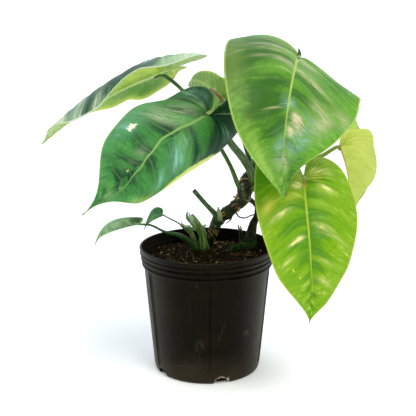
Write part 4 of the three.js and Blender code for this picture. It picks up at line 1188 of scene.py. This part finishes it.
barkMaterial = limbMaterial("stemBark", barkLook)
rootMaterial = limbMaterial("rootSkin", rootLook)
fibreMaterial = limbMaterial("dryFibre", fibreLook)
mintMaterial = limbMaterial("tornFlesh", mintLook)
flapMaterial = limbMaterial("tornFlap", {
    **greenStalk, "base": "86b478", "dark": "3c6a44", "light": "c8dfb6"})
stemBody = makeLimb("stemBody", stem, barkMaterial)
joinInto(stemBody, makeStrands("stemFibres", stem["fibres"], fibreMaterial))
settle(stemBody, "bark", "stem")

propRootBody = makeLimb("propRootBody", propRoot, rootMaterial)
mossTop, mossFade = propRoot["moss"]["top"], propRoot["moss"]["fade"]
propRootBody = strew(propRootBody, lambda x, y, z: np.clip((mossTop - z) / mossFade, 0, 1), {
    "shapes": mossTufts, **propRoot["moss"]})
settle(propRootBody, "root", "prop_root")
settle(makeLimb("aerialRootLong", aerialRootLong, rootMaterial), "root", "aerial_root_long")
settle(makeLimb("aerialRootShort", aerialRootShort, rootMaterial), "root", "aerial_root_short")
print("stem and roots made")

# Leaf stalks end under the first stretch of their blade's midrib
stalks = {
    "leafA": {
        "leaf": leafA, "end": 2.2, "look": greenStalk, "flutes": (3, 0.12), "route": [
            (44, 15, 219, 3.6), (38, 10, 227, 3.1), (29, 9, 249, 2.6), (19, 9, 268, 2.5),
            (-4.5, 8, 306, 2.4), (-29.5, 7, 343, 2.3)],
    },
    "leafB": {
        "leaf": leafB, "end": 3, "flutes": (5, 0.25),
        "look": {**greenStalk, "base": "3f5a28", "light": "6c8a48", "streaks": 1.5}, "route": [
            (52, 12, 230, 6), (55, 3, 238, 5.4), (51.5, -4, 249, 4.9), (41, -19, 268, 4.6),
            (30, -36, 284, 4.3), (16, -56, 306, 3.6)],
    },
    "leafC": {
        "leaf": leafC, "end": 3.1, "look": greenStalk, "flutes": (4, 0.2),
        "nub": [
            (102.5, -33, 383, 2.2), (104.5, -33, 388, 2.3), (104, -33, 393, 1.2), (103.5, -33, 395.5, 0.4)],
        "route": [
            (56.5, 9, 249, 5.2), (60, 6, 263, 5), (66, -1, 281, 4.6), (77, -13, 316, 4.2),
            (90, -27, 356, 3.6)],
    },
    "leafD": {
        "leaf": leafD, "end": 2.9, "flutes": (3, 0.12),
        "look": {**greenStalk, "top": "d2483c", "topStart": 0.7}, "route": [
            (53, 13, 222, 4.8), (65, 0, 231, 4.4), (82, -24, 242, 3.8), (96, -44, 249, 3.3)],
    },
    "leafE": {
        "leaf": leafE, "end": 2.2,
        "look": {**greenStalk, "base": "809c3c", "dark": "4f6a26", "light": "b0c45e"}, "route": [
            (53, 14, 229, 4), (67, 18, 237, 3.5), (94, 14, 247, 3), (118, 9, 255, 2.7), (137, 5, 264, 2.5)],
    },
    "leafF": {
        "leaf": leafF, "slot": "red_stalk", "end": 2.1, "reach": 0.19,
        "look": {**greenStalk, "top": "785832", "topStart": 0.35}, "route": [
            (55, 12, 240, 3.6), (52, 18, 254, 3.3), (46, 24, 275, 2.8), (37, 30, 303, 2.5)],
    },
    "youngLeafA": {
        "leaf": youngLeafA, "end": 1.1,
        "look": {**greenStalk, "base": "3f6a36", "light": "6f9a58"}, "route": [
            (-9, 28, 128, 4.6), (-14, 24, 144, 4.3), (-21.5, 20, 153, 3.8), (-33, 12, 163, 3),
            (-51, -2, 172, 1.6), (-68, -15, 184, 1.3)],
    },
    "youngLeafB": {
        "leaf": youngLeafB, "end": 0.8,
        "look": {**greenStalk, "base": "5b8a48", "light": "8fb878"}, "route": [
            (-23, 20, 165, 1.4), (-34, 17, 177, 1), (-45, 14, 184, 0.9)],
    },
}
stalkSeat = {"gap": 0.8, "reach": 0.06, "taper": 0.8}
for stalkName, stalk in stalks.items():
    leaf, end = stalk["leaf"], stalk["end"]
    reach = leaf["length"] * stalk.get("reach", stalkSeat["reach"])
    for s, radius in [(0.0, end), (reach, end * stalkSeat["taper"])]:
        centre, up, _ = midribFrames(leaf, np.array(s))
        stalk["route"].append((*(centre - up * (radius + stalkSeat["gap"])), radius))
    skin = limbMaterial(stalkName + "StalkSkin", stalk["look"])
    piece = makeLimb(stalkName + "Stalk", stalk, skin)
    if "nub" in stalk:
        joinInto(piece, makeStrands(stalkName + "Nub", [stalk["nub"]], skin, sides=12))
    node = "".join("_" + letter.lower() if letter.isupper() else letter for letter in stalkName)
    settle(piece, stalk.get("slot", "stalk"), node + "_stalk")
print("stalks made:", len(stalks))

# Cut and broken stalks. "torn" is how deep the broken top is hollowed and how ragged its edge is.
stubs = {
    "cutStalk": {
        "node": "cut_stalk", "slot": "stalk", "torn": (0.8, 0.4), "flutes": (5, 0.22),
        "look": {**greenStalk, "base": "3c5c34", "dark": "14281a", "light": "7a9c68", "scar": "3a2a1a",
                 "streaks": 1.8},
        "route": [
            (17, 24, 178, 6), (12, 17, 187, 4), (5, 13, 196, 3), (-2.5, 9, 205, 2.7), (-15.5, 3, 222, 2.7)],
        "spots": {"dark": [(14, 15, 180, 5, 0.6)]},
    },
    "budTip": {
        "node": "bud", "slot": "stalk",
        "look": {**greenStalk, "base": "9cba80", "dark": "3c5a34", "light": "c8dcae", "rust": "d8987c"},
        "route": [
            (15.5, 20, 178, 2), (15.4, 16.6, 185, 3.7), (14.8, 15, 191, 3.1), (13.2, 14.6, 199.5, 0.4)],
        "spots": {
            "rust": [(17.5, 15, 190, 2.6, 1.6), (17, 15, 184, 2.4, 1.2)],
            "dark": [(15.5, 17, 178, 5, 1.4)],
        },
    },
    "brokenStalkWide": {
        "node": "broken_stalk_wide", "slot": "stalk", "flutes": (4, 0.35),
        "look": {**greenStalk, "base": "7fae58", "dark": "2c4c28", "light": "bcd888", "streaks": 1.6},
        "route": [
            (-2, 23, 124, 4.6), (-3, 26, 140, 6.2), (-3.6, 27, 149, 6.2), (-4.4, 27, 154, 5.6),
            (-6, 26.5, 162, 5.2), (-10.6, 25.5, 171, 4.6), (-14.8, 24.5, 180, 3.1),
            (-18.5, 23.5, 187.5, 0.9)],
        "spots": {
            "dark": [(-1, 20, 143, 6, 1.1), (-13, 22, 168, 4, 0.7), (-11, 22, 160, 3, 0.5)],
            "rust": [(-8, 22, 175, 2, 1)],
        },
        "flaps": [
            [(-14, 22, 170, 2.2), (-19, 21, 177, 2.3), (-24.5, 20.5, 184.5, 1.9), (-24.6, 21, 189, 1.1),
             (-23.5, 21, 192, 0.4)],
            [(-14, 22, 168, 1.8), (-21, 20, 170.5, 1.8), (-28, 19, 171, 1.3), (-32, 18.5, 173, 0.6)],
        ],
        "shreds": [
            [(-15, 20.5, 174, 1.2), (-18.5, 19, 180, 2.0), (-21, 18.6, 186, 1.4), (-22.4, 19.5, 190.5, 0.6)],
            [(-16, 20, 178, 0.6), (-17.5, 18.6, 184, 1.1), (-19.6, 19, 188, 0.5)],
            [(-20, 19, 173.5, 1.3), (-26, 18, 173.6, 1.5), (-30.5, 17.5, 176.5, 1), (-31.8, 17.5, 180, 0.4)],
            [(-6, 27, 168, 1.2), (-3.4, 27, 171.6, 1.7), (-0.8, 27, 173, 0.9)],
        ],
    },
    "brokenStalkNarrow": {
        "node": "broken_stalk_narrow", "slot": "stalk", "torn": (1.5, 2.0),
        "look": {**greenStalk, "base": "909c5a", "dark": "4a5a30", "light": "bccb88", "scar": "dfe6c0"},
        "route": [
            (-12, 39, 122, 2.6), (-13.5, 34, 140, 3.3), (-15.5, 29, 151, 3.4), (-18.5, 23.5, 161, 3),
            (-22.5, 20, 169, 2.4), (-26, 19, 172, 1.8)],
        "spots": {"dark": [(-14, 26, 150, 6, 0.6)]},
    },
    "driedStub": {
        "node": "dried_stub", "slot": "dry_stub", "torn": (2.2, 3), "bump": (1.2, 260),
        "look": {**barkLook, "base": "4e502c", "dark": "1e2012", "light": "82824e", "scar": "6a6038"},
        "route": [(44, 52, 124, 2.6), (44, 51, 142, 3.0), (43.4, 49, 152, 3.0), (41.6, 46.6, 161, 2.2)],
        "strips": [[(42.6, 48, 156, 1.5), (40.2, 46.5, 163, 1.3), (38.8, 46, 168, 0.7)],
                   [(43.6, 47, 155, 1.3), (43, 46, 162, 1.1), (42.2, 45.5, 167, 0.5)]],
    },
    "mossyStub": {
        "node": "mossy_stub", "slot": "moss", "bump": (1.8, 200),
        "look": {**rootLook, "base": "2c4a28", "dark": "182c18", "light": "5c7c44"}, "route": [
            (28, 19, 143, 2.4), (34, 23, 144, 3.2), (43, 28, 145, 3.4), (53, 28, 146, 3.2),
            (61, 33, 147, 2.6)],
        "moss": {"perSquareMetre": 1500000, "seed": 3, "scale": (0.4, 0.9), "tilt": 0.6, "lift": 0},
    },
}
tear = {  # how a broken end is hollowed in two steps, each an inset as a share of the radius, and a drop
    "steps": [(0.3, 0.25), (0.45, 1.0)], "rimScar": 0.6, "sink": 0.4, "least": 0.4, "capSides": 6,
}


# Hollows out the flat end of a tube and makes its edge ragged
def tearEnd(piece, end, axis, radius, depth, ragged):
    draw = random.Random(len(piece.name))
    body = bmesh.new()
    body.from_mesh(piece.data)
    scar = body.verts.layers.float["limbScar"]
    caps = [face for face in body.faces if len(face.verts) > tear["capSides"]]
    cap = min(caps, key=lambda face: (face.calc_center_median() - end).length)
    for vert in cap.verts:
        vert.co += axis * ragged * (draw.random() - tear["sink"]) * (tear["least"] + draw.random())
        vert[scar] = tear["rimScar"]
    for inset, drop in tear["steps"]:
        bmesh.ops.inset_individual(body, faces=[cap], thickness=radius * inset, use_even_offset=True)
        for vert in cap.verts:
            vert.co -= axis * depth * drop
            vert[scar] = 1.0
    body.to_mesh(piece.data)
    body.free()


for stubName, stub in stubs.items():
    stub["rounded"] = "torn" not in stub
    skin = limbMaterial(stubName + "Skin", stub["look"])
    piece = makeLimb(stubName, stub, skin)
    if "torn" in stub:
        last, before = Vector(stub["route"][-1][:3]), Vector(stub["route"][-2][:3])
        tearEnd(piece, last * mm, (last - before).normalized(), stub["route"][-1][3] * mm,
                stub["torn"][0] * mm, stub["torn"][1] * mm)
    for part, material in (("flaps", flapMaterial), ("shreds", mintMaterial), ("strips", fibreMaterial)):
        if part in stub:
            joinInto(piece, makeStrands(stubName + part.title(), stub[part], material, sides=8))
    if "moss" in stub:
        piece = strew(piece, lambda x, y, z: np.ones(len(z)), {"shapes": mossTufts, **stub["moss"]})
    settle(piece, stub["slot"], stub["node"])
print("stubs made:", len(stubs))

# Pot: a turned profile with flutes, cut by the drain notches
pot = {
    "height": 155, "rimRadius": 82.5, "baseRadius": 64.8, "topRadius": 79.4, "cornerRadius": 4, "wall": 1.8,
    "floor": 2.4, "wallTop": 132.2, "segments": 240, "extraReach": 6, "extraStep": 0.5,
    "oval": {"depth": 0.006, "power": 3, "turn": 0.9},
    "beads": [(79.7, 134), (81.0, 141), (82.1, 147.3)], "beadHalf": 1.1,  # radius and height
    "bands": [[(78.0, 135.7), (78.5, 137.5), (79.2, 139.3)], [(79.4, 142.7), (79.8, 144.3), (80.3, 145.7)],
              [(80.7, 149), (81.1, 151), (81.4, 152.6)]],  # what stands above each bead
    "lip": 1.1, "innerStep": (130, 18, 2.1), "innerRidge": (0.45, 1.05),
    "flute": {"angles": (-62, 3, 75, 147, 219), "halfWidth": 1.3, "depth": 1.3, "ridgeAt": 3.4, "ridge": 0.6,
              "ridgeWidth": 0.9, "low": 10, "high": 130.5, "run": 2},
    "drain": {"count": 5, "first": 15, "width": 16, "height": 8.5, "reach": 9, "through": 12,
              "shoulder": 0.35, "ragged": 0.35, "nicks": (9, 23), "below": 2, "steps": 31},
    "worn": {"fade": 1.6, "top": 13, "leftShare": 0.4, "besideFade": 6, "besideShare": 0.6, "besideFrom": 25},
    "hub": 30, "innerLip": 0.6, "wallRows": 40, "innerRows": 70, "sharpFrom": 38,  # sharpFrom in degrees
}


def wallRadius(z):
    return pot["baseRadius"] + (pot["topRadius"] - pot["baseRadius"]) * z / pot["height"]


def innerRadius(z):
    low, run, out = pot["innerStep"]
    return wallRadius(z) - pot["wall"] + out * min(max((z - low) / run, 0), 1)


def roundCorner(centre, radius, first, last, steps=5):  # angles from straight out, up being positive
    angles = np.radians(np.linspace(first, last, steps))
    return [(centre[0] + radius * math.cos(a), centre[1] + radius * math.sin(a)) for a in angles]


def potProfile():
    height, corner, half, lip = pot["height"], pot["cornerRadius"], pot["beadHalf"], pot["innerLip"]
    profile = [(0, 0), (pot["hub"], 0)]
    profile += roundCorner((pot["baseRadius"] - corner, corner), corner, -90, 0, 8)
    profile += [(wallRadius(z), z) for z in np.linspace(corner + 2, pot["wallTop"], pot["wallRows"])]
    for (radius, z), band in zip(pot["beads"], pot["bands"]):
        profile += roundCorner((radius - half, z), half, -80, 80, 7) + band
    profile += roundCorner((pot["rimRadius"] - pot["lip"], height - pot["lip"]), pot["lip"], -40, 90)
    profile += roundCorner((innerRadius(height) + lip, height - lip), lip, 90, 180)
    swell, pitch = pot["innerRidge"]
    profile += [(innerRadius(z) + swell * math.sin(z * pitch) * (z > pot["innerStep"][0]), z)
                for z in np.linspace(height - 2, pot["floor"] + 3, pot["innerRows"])]
    profile += [(innerRadius(pot["floor"]) - 3, pot["floor"]), (pot["hub"], pot["floor"]), (0, pot["floor"])]
    return profile


def turnApart(a, b):
    return abs((a - b + 180) % 360 - 180)


def fluteDepthAt(angle, z, radius):  # a narrow groove between two low ridges
    flute = pot["flute"]
    fromEnds = (z - flute["low"], flute["high"] - z)
    ends = math.prod(min(max(far / flute["run"], 0), 1) for far in fromEnds)
    x = math.radians(min(turnApart(angle, at) for at in flute["angles"])) * radius
    ridge = flute["ridge"] * math.exp(-((x - flute["ridgeAt"]) / flute["ridgeWidth"]) ** 2)
    return ends * (flute["depth"] * math.exp(-(x / flute["halfWidth"]) ** 4) - ridge)


def makePotShell():
    profile = potProfile()
    flutes, oval = pot["flute"]["angles"], pot["oval"]
    angles = {round(360 * j / pot["segments"], 2) for j in range(pot["segments"])}
    steps = np.arange(-pot["extraReach"], pot["extraReach"], pot["extraStep"])
    angles |= {round((at + step) % 360, 2) for at in flutes for step in steps}
    angles = sorted(angles)
    segments = len(angles)
    points, faces = [], []
    outer = max(i for i, (radius, z) in enumerate(profile)
                if abs(z - pot["wallTop"]) < 0.1 and radius > wallRadius(z) - 1)
    for i, (radius, z) in enumerate(profile):
        if radius == 0:
            points.append((0, 0, z))
            continue
        for degrees in angles:
            angle = math.radians(degrees - 90)
            r = radius - (fluteDepthAt(degrees, z, radius) if i <= outer else 0)
            share = 0.5 + 0.5 * math.cos(2 * angle + oval["turn"])
            r *= 1 - oval["depth"] * (z / pot["height"]) ** oval["power"] * share
            points.append((r * math.cos(angle), r * math.sin(angle), z))
    starts = [0 if i == 0 else 1 + (i - 1) * segments for i in range(len(profile))]
    for i in range(len(profile) - 1):
        for j in range(segments):
            k = (j + 1) % segments
            a, b = starts[i], starts[i + 1]
            if i == 0:
                faces.append((a, b + k, b + j))
            elif i == len(profile) - 2:
                faces.append((a + j, a + k, b))
            else:
                faces.append((a + j, a + k, b + k, b + j))
    return newPiece("potShell", np.array(points) * mm, faces)


def drainTurns():
    drain = pot["drain"]
    return [math.radians(drain["first"] + 360 / drain["count"] * i - 90) for i in range(drain["count"])]


def makeDrainCutters():
    drain = pot["drain"]
    half, tall = drain["width"] / 2, drain["height"]
    arch = [(-half, -drain["below"]), (half, -drain["below"])]
    for a in np.linspace(0, math.pi, drain["steps"]):
        nick = drain["ragged"] * sum(math.sin(count * a) for count in drain["nicks"])
        shoulder = drain["shoulder"] + (1 - drain["shoulder"]) * math.sin(a)
        arch.append(((half + nick) * math.cos(a), tall * shoulder + nick))
    points, faces = [], []
    for turn in drainTurns():
        cosine, sine = math.cos(turn), math.sin(turn)
        first, size = len(points), len(arch)
        for depth in (pot["baseRadius"] - drain["reach"], pot["baseRadius"] + drain["through"]):
            points += [(depth * cosine - x * sine, depth * sine + x * cosine, z) for x, z in arch]
        faces.append([first + k for k in range(size)][::-1])
        faces.append([first + size + k for k in range(size)])
        faces += [[first + k, first + (k + 1) % size, first + size + (k + 1) % size, first + size + k]
                  for k in range(size)]
    return newPiece("drainCutters", np.array(points) * mm, faces)


def drainDistance(x, y, z):  # from a point of the pot to the nearest notch's edge, in mm
    drain = pot["drain"]
    best = math.inf
    for turn in drainTurns():
        aside = -x * math.sin(turn) + y * math.cos(turn)
        ahead = x * math.cos(turn) + y * math.sin(turn)
        if ahead > 0:
            reach = math.hypot(aside / (drain["width"] / 2), max(z, 0) / drain["height"])
            best = min(best, abs(reach - 1) * drain["height"])
    return best


# A rubbed mark on the pot's front: a streak through a place (x, z), leaning from the vertical
def makeRub():
    tree, given, result = newTree("rub", "ShaderNodeTree", {
        "Vector": "position", "Float": "x z lean halfLength halfWidth"}, {"Float": "mask"})
    x, y, z = split(given["position"])
    u, v = x - given["x"], z - given["z"]
    cosine, sine = calc("COSINE", given["lean"]), calc("SINE", given["lean"])
    across = (u * cosine - v * sine) / given["halfWidth"]
    along = (u * sine + v * cosine) / given["halfLength"]
    near = 1 - rise(calc("SQRT", across * across + along * along), 0.3, 1)
    broken = rise(noiseAt(given["position"], 260, 4, 0.7), 0.4, 0.6)
    plug(near * broken * calc("LESS_THAN", y, 0), result["mask"])
    return tree


rub = makeRub()
rubs = [  # x, z, lean in degrees, half length, half width, strength
    (17.5, 69, 20, 19, 1.4, 0.14), (-9, 51, 10, 12, 9, 0.12), (46.5, 61, 0, 6, 5, 0.25),
    (-20, 96, -4, 30, 1.2, 0.06), (-58, 34, 8, 12, 3, 0.2), (28, 30, 70, 14, 1, 0.1),
    (-32, 22, 80, 14, 1.2, 0.15), (58, 40, 10, 12, 2, 0.2),
]


def makePotPlastic():
    material, tree, shader = newMaterial("potPlastic", {
        "Specular IOR Level": 0.1, "Specular Tint": "e4d6b4"})
    place = objectPlace(tree)
    x, y, z = split(place)
    drawn = noiseAt(join(x, y, z * 0.06), 420, 3, 0.6)
    cloud = noiseAt(place, 28, 4, 0.6)
    grain = noiseAt(place, 1500, 2)
    slanted = flow(tree, "ShaderNodeMapping", {
        "Vector": place, "Rotation": (0.5, 0.3, 0.4), "Scale": (1, 1, 0.12)})
    scratch = rise(noiseAt(slanted, 260, 3, 0.7), 0.66, 0.74)
    # painted sheen: the wall is lighter towards its left and right edges, where it turns away and reflects
    # the bright surroundings
    paintedSideSheen = rise(calc("ABSOLUTE", x), 0.035, 0.075) * (cloud * 0.6 + 0.2)
    rim = rise(z, 0.128, 0.134) * rise(drawn, 0.45, 0.65)
    low = 1 - rise(z + (cloud - 0.5) * 0.06, 0.004, 0.045)
    tone = mixColour(rise(cloud, 0.45, 0.7) * 0.8, "060502", "140f08")
    tone = mixColour(paintedSideSheen, tone, "3a352b")
    tone = mixColour(scratch * 0.15, tone, "5a5348")
    tone = mixColour(rim * 0.3, tone, "24221c")
    tone = mixColour(low * (grain * 0.5 + 0.1), tone, "4a4234")
    for rubX, rubZ, lean, halfLength, halfWidth, strength in rubs:
        mark = useGroup(tree, rub, position=place, x=rubX * mm, z=rubZ * mm, lean=math.radians(lean),
                        halfLength=halfLength * mm, halfWidth=halfWidth * mm)
        tone = mixColour(mark["mask"] * strength, tone, "6a655c")
    patchy = (noiseAt(place, 300, 4, 0.7) - 0.5) * 1.2
    worn = rise(attribute(tree, "potWear", "Fac") + patchy, 0.35, 0.7)
    tone = mixColour(worn * 0.8, tone, "bdb4a4")
    rough = cloud * 0.3 + 0.24 + worn * 0.3
    coat(tree, shader, tone, rough, drawn * 0.5 + grain * 0.15 - scratch * 0.3, 0.2)
    return material


def wearAt(x, y, z):  # the cut edges of the notches are rubbed pale, and the wall beside them on the right
    worn = pot["worn"]
    gap = drainDistance(x, y, z)
    beside = worn["besideShare"] * math.exp(-gap / worn["besideFade"]) * (x > worn["besideFrom"]) * (y < 0)
    edge = math.exp(-gap / worn["fade"]) * (1 if x > 0 else worn["leftShare"])
    return (edge + beside) * (z < worn["top"])


potShell = makePotShell()
cutters = makeDrainCutters()
cut = potShell.modifiers.new("drains", "BOOLEAN")
cut.operation, cut.object, cut.solver = "DIFFERENCE", cutters, "EXACT"
cutMesh = evaluated(potShell)
potShell.modifiers.clear()
potShell.data = cutMesh
bpy.data.objects.remove(cutters)
cutMesh.materials.clear()
cutMesh.materials.append(makePotPlastic())
cutMesh.set_sharp_from_angle(angle=math.radians(pot["sharpFrom"]))
giveValues(cutMesh, "potWear", [wearAt(*vertex.co / mm) for vertex in cutMesh.vertices])
settle(potShell, "pot_plastic", "pot")
print("pot made:", len(cutMesh.polygons), "faces")

# Potting mix: a lumpy surface, strewn with bark chips, grains and rootlets
soil = {
    "level": 138, "mound": {"height": 5, "x": 15, "y": 25, "radius": 45}, "bump": 1.1,
    "waves": {"x": 0.21, "shift": 1, "y": 0.17, "slantX": 0.43, "slantY": 0.31, "slantShare": 0.6},
    "rings": 60, "segments": 180, "lumps": (1.6, 90), "clearance": 0.4, "edgeDrop": 0.8, "rimDrop": 3,
    "topBand": {"below": 4, "inset": 2},
    "chip": {
        "perSquareMetre": 34000, "seed": 2, "scale": (0.6, 1.5), "tilt": 0.8, "lift": 0.6,
        "corners": 11, "shapeSeed": 0,
        "sizes": [(5.5, 2.6, 1.3), (4.2, 2.2, 1.2), (6.5, 2, 1), (3.6, 2.8, 1.6), (4.8, 1.6, 1),
                  (3, 2.2, 1.8)],
    },
    "grain": {
        "perSquareMetre": 190000, "seed": 5, "scale": (0.4, 1.3), "tilt": 1.5, "lift": 0.1,
        "corners": 7, "shapeSeed": 20, "sizes": [(1.3, 1, 0.8), (1, 0.8, 0.8), (1.7, 0.9, 0.7)],
    },
    "moss": {"perSquareMetre": 350000, "seed": 7, "scale": (0.4, 0.8), "tilt": 0.6, "lift": 0},
    "mossPatch": {"x": 48, "y": 40, "reach": (16, 10), "cut": 2, "below": 3},
    "landmark": {"corners": 12, "shapeSeed": 40, "sink": 0.4},
    "landmarks": [  # x, y, size, turn in degrees about x, y and z, tone
        (17, 29, (6, 3.4, 2), (20, 10, 30), 0.99), (45.5, -10, (4, 3, 7), (10, 15, 0), 0.72),
        (53, 14, (7, 3, 2), (0, 30, 20), 0.93), (5, -16, (3, 2, 2), (10, 0, 0), 0.99),
        (9.4, 2, (3, 3, 8), (12, -14, 0), 0.75), (24, -20, (8, 3, 2.5), (10, 5, 60), 0.6),
        (-30, -8, (7, 3, 2), (8, 5, 110), 0.8), (30, 4, (6, 3, 2), (30, 10, 140), 0.75),
        (-46, 10, (6, 3, 2), (10, 5, 20), 0.7), (60, -4, (6, 3, 3), (20, 20, 70), 0.85),
        (38, -2, (5, 3, 6), (15, 20, 30), 0.8), (50, 4, (4, 3, 7), (-10, 15, 80), 0.8),
    ],
    "rootlets": [  # (x, y, height over the mix, radius)
        [(-18, 30.6, 1, 0.5), (-20.2, 20.7, 2.5, 0.6), (-24, 7, 3, 0.6), (-25, -9, 1, 0.5)],
        [(-22, -4.6, 1, 0.4), (-19.4, 2, 2.5, 0.5), (-16.8, -10, 2, 0.5), (-16, -18, 0.6, 0.4)],
        [(8, -24, 0.8, 0.4), (20, -27, 2, 0.4), (31, -22, 0.8, 0.4)],
        [(35, 8, 0.8, 0.4), (45, 2, 2.4, 0.5), (56, 4, 0.6, 0.4)],
        [(-50, -2, 0.8, 0.4), (-43, -14, 2, 0.4), (-30, -20, 0.6, 0.4)],
    ],
}


def soilHeight(x, y):
    mound = soil["mound"]
    far = (x - mound["x"]) ** 2 + (y - mound["y"]) ** 2
    wave = soil["waves"]
    bumps = math.sin(x * wave["x"] + wave["shift"]) * math.cos(y * wave["y"])
    bumps += wave["slantShare"] * math.sin(x * wave["slantX"] - y * wave["slantY"])
    return soil["level"] + mound["height"] * math.exp(-far / mound["radius"] ** 2) + soil["bump"] * bumps


def lumpyHeight(x, y):
    tall, size = soil["lumps"]
    near = noise.fractal(Vector((x, y, 3)) * size / 1000, 0.9, 2.1, 4)
    fine = noise.fractal(Vector((x, y, 9)) * 0.5, 0.8, 2.0, 3)
    return soilHeight(x, y) + tall * near + 0.5 * fine


def makeSoilMix():
    material, tree, shader = newMaterial("soilMix", {"Specular IOR Level": 0.08})
    place = objectPlace(tree)
    coarse, fine = noiseAt(place, 160, 5, 0.7), noiseAt(place, 900, 4, 0.7)
    tone = mixColour(rise(coarse, 0.35, 0.65), "100b05", "2a1e10")
    tone = mixColour(rise(fine, 0.55, 0.75) * 0.5, tone, "4e3c24")
    coat(tree, shader, tone, 0.95, coarse + fine * 0.5, 1.5)
    return material


def makeSoilBody():
    rings, segments, edgeDrop = soil["rings"], soil["segments"], soil["edgeDrop"]
    rim, low = soil["level"] - soil["rimDrop"], pot["floor"] + soil["clearance"]
    topRadius = innerRadius(rim) - soil["clearance"]
    points, faces = [(0, 0, lumpyHeight(0, 0))], []
    around = [2 * math.pi * j / segments for j in range(segments)]
    for i in range(rings):
        radius = topRadius * (i + 1) / rings
        for angle in around:
            x, y = radius * math.cos(angle), radius * math.sin(angle)
            points.append((x, y, lumpyHeight(x, y) - (edgeDrop if i == rings - 1 else 0)))
    for radius, z in ((topRadius, rim), (innerRadius(low) - soil["clearance"], low)):
        points += [(radius * math.cos(angle), radius * math.sin(angle), z) for angle in around]
    points.append((0, 0, low))
    count = rings + 2
    for j in range(segments):
        k = (j + 1) % segments
        faces.append((0, 1 + j, 1 + k))
        for i in range(count - 1):
            a, b = 1 + i * segments, 1 + (i + 1) * segments
            faces.append((a + j, b + j, b + k, a + k))
        last = 1 + (count - 1) * segments
        faces.append((last + k, last + j, len(points) - 1))
    return newPiece("soilBody", np.array(points) * mm, faces, makeSoilMix())


def onTop(x, y, z):
    band = soil["topBand"]
    inside = np.hypot(x, y) < innerRadius(soil["level"]) - band["inset"]
    return np.where((z > soil["level"] - band["below"]) & inside, 1.0, 0.0)


def inMossPatch(x, y, z):
    patch = soil["mossPatch"]
    far = ((x - patch["x"]) / patch["reach"][0]) ** 2 + ((y - patch["y"]) / patch["reach"][1]) ** 2
    return np.exp(-far) * (far < patch["cut"]) * (z > soil["level"] - patch["below"])


def makeLandmarks(material):
    made, build = [], soil["landmark"]
    for i, (x, y, size, turn, tone) in enumerate(soil["landmarks"]):
        chip = makeCrumb("landmark" + str(i), size, build["corners"], build["shapeSeed"] + i, material)
        bpy.context.collection.objects.link(chip)
        turned = Euler([math.radians(angle) for angle in turn]).to_matrix().to_4x4()
        place = Vector((x, y, lumpyHeight(x, y) + size[2] * build["sink"]))
        chip.data.transform(Matrix.Translation(place * mm) @ turned)
        giveValues(chip.data, "strewTone", [tone] * len(chip.data.vertices))
        made.append(chip)
    return made


soilBody = makeSoilBody()
barkMix = strewMaterial("barkMix", [
    (0, "1a120a"), (0.34, "352616"), (0.6, "54402a"), (0.8, "7a5e3a"), (0.94, "c0a474")])
for kind in ("chip", "grain"):
    layer = soil[kind]
    shapes = [makeCrumb(kind + str(i), size, layer["corners"], layer["shapeSeed"] + i, barkMix)
              for i, size in enumerate(layer["sizes"])]
    soilBody = strew(soilBody, onTop, {"shapes": shapes, **layer})
soilBody = strew(soilBody, inMossPatch, {"shapes": mossTufts, **soil["moss"]})
rootlets = [[(x, y, lumpyHeight(x, y) + over, radius) for x, y, over, radius in route]
            for route in soil["rootlets"]]
rootletSkin = limbMaterial("rootletSkin", {
    **fibreLook, "base": "6e5232", "dark": "33220f", "light": "a58a5c"})
joinInto(soilBody, makeStrands("rootlets", rootlets, rootletSkin), *makeLandmarks(barkMix))
settle(soilBody, "soil_mix", "soil")
print("soil made")
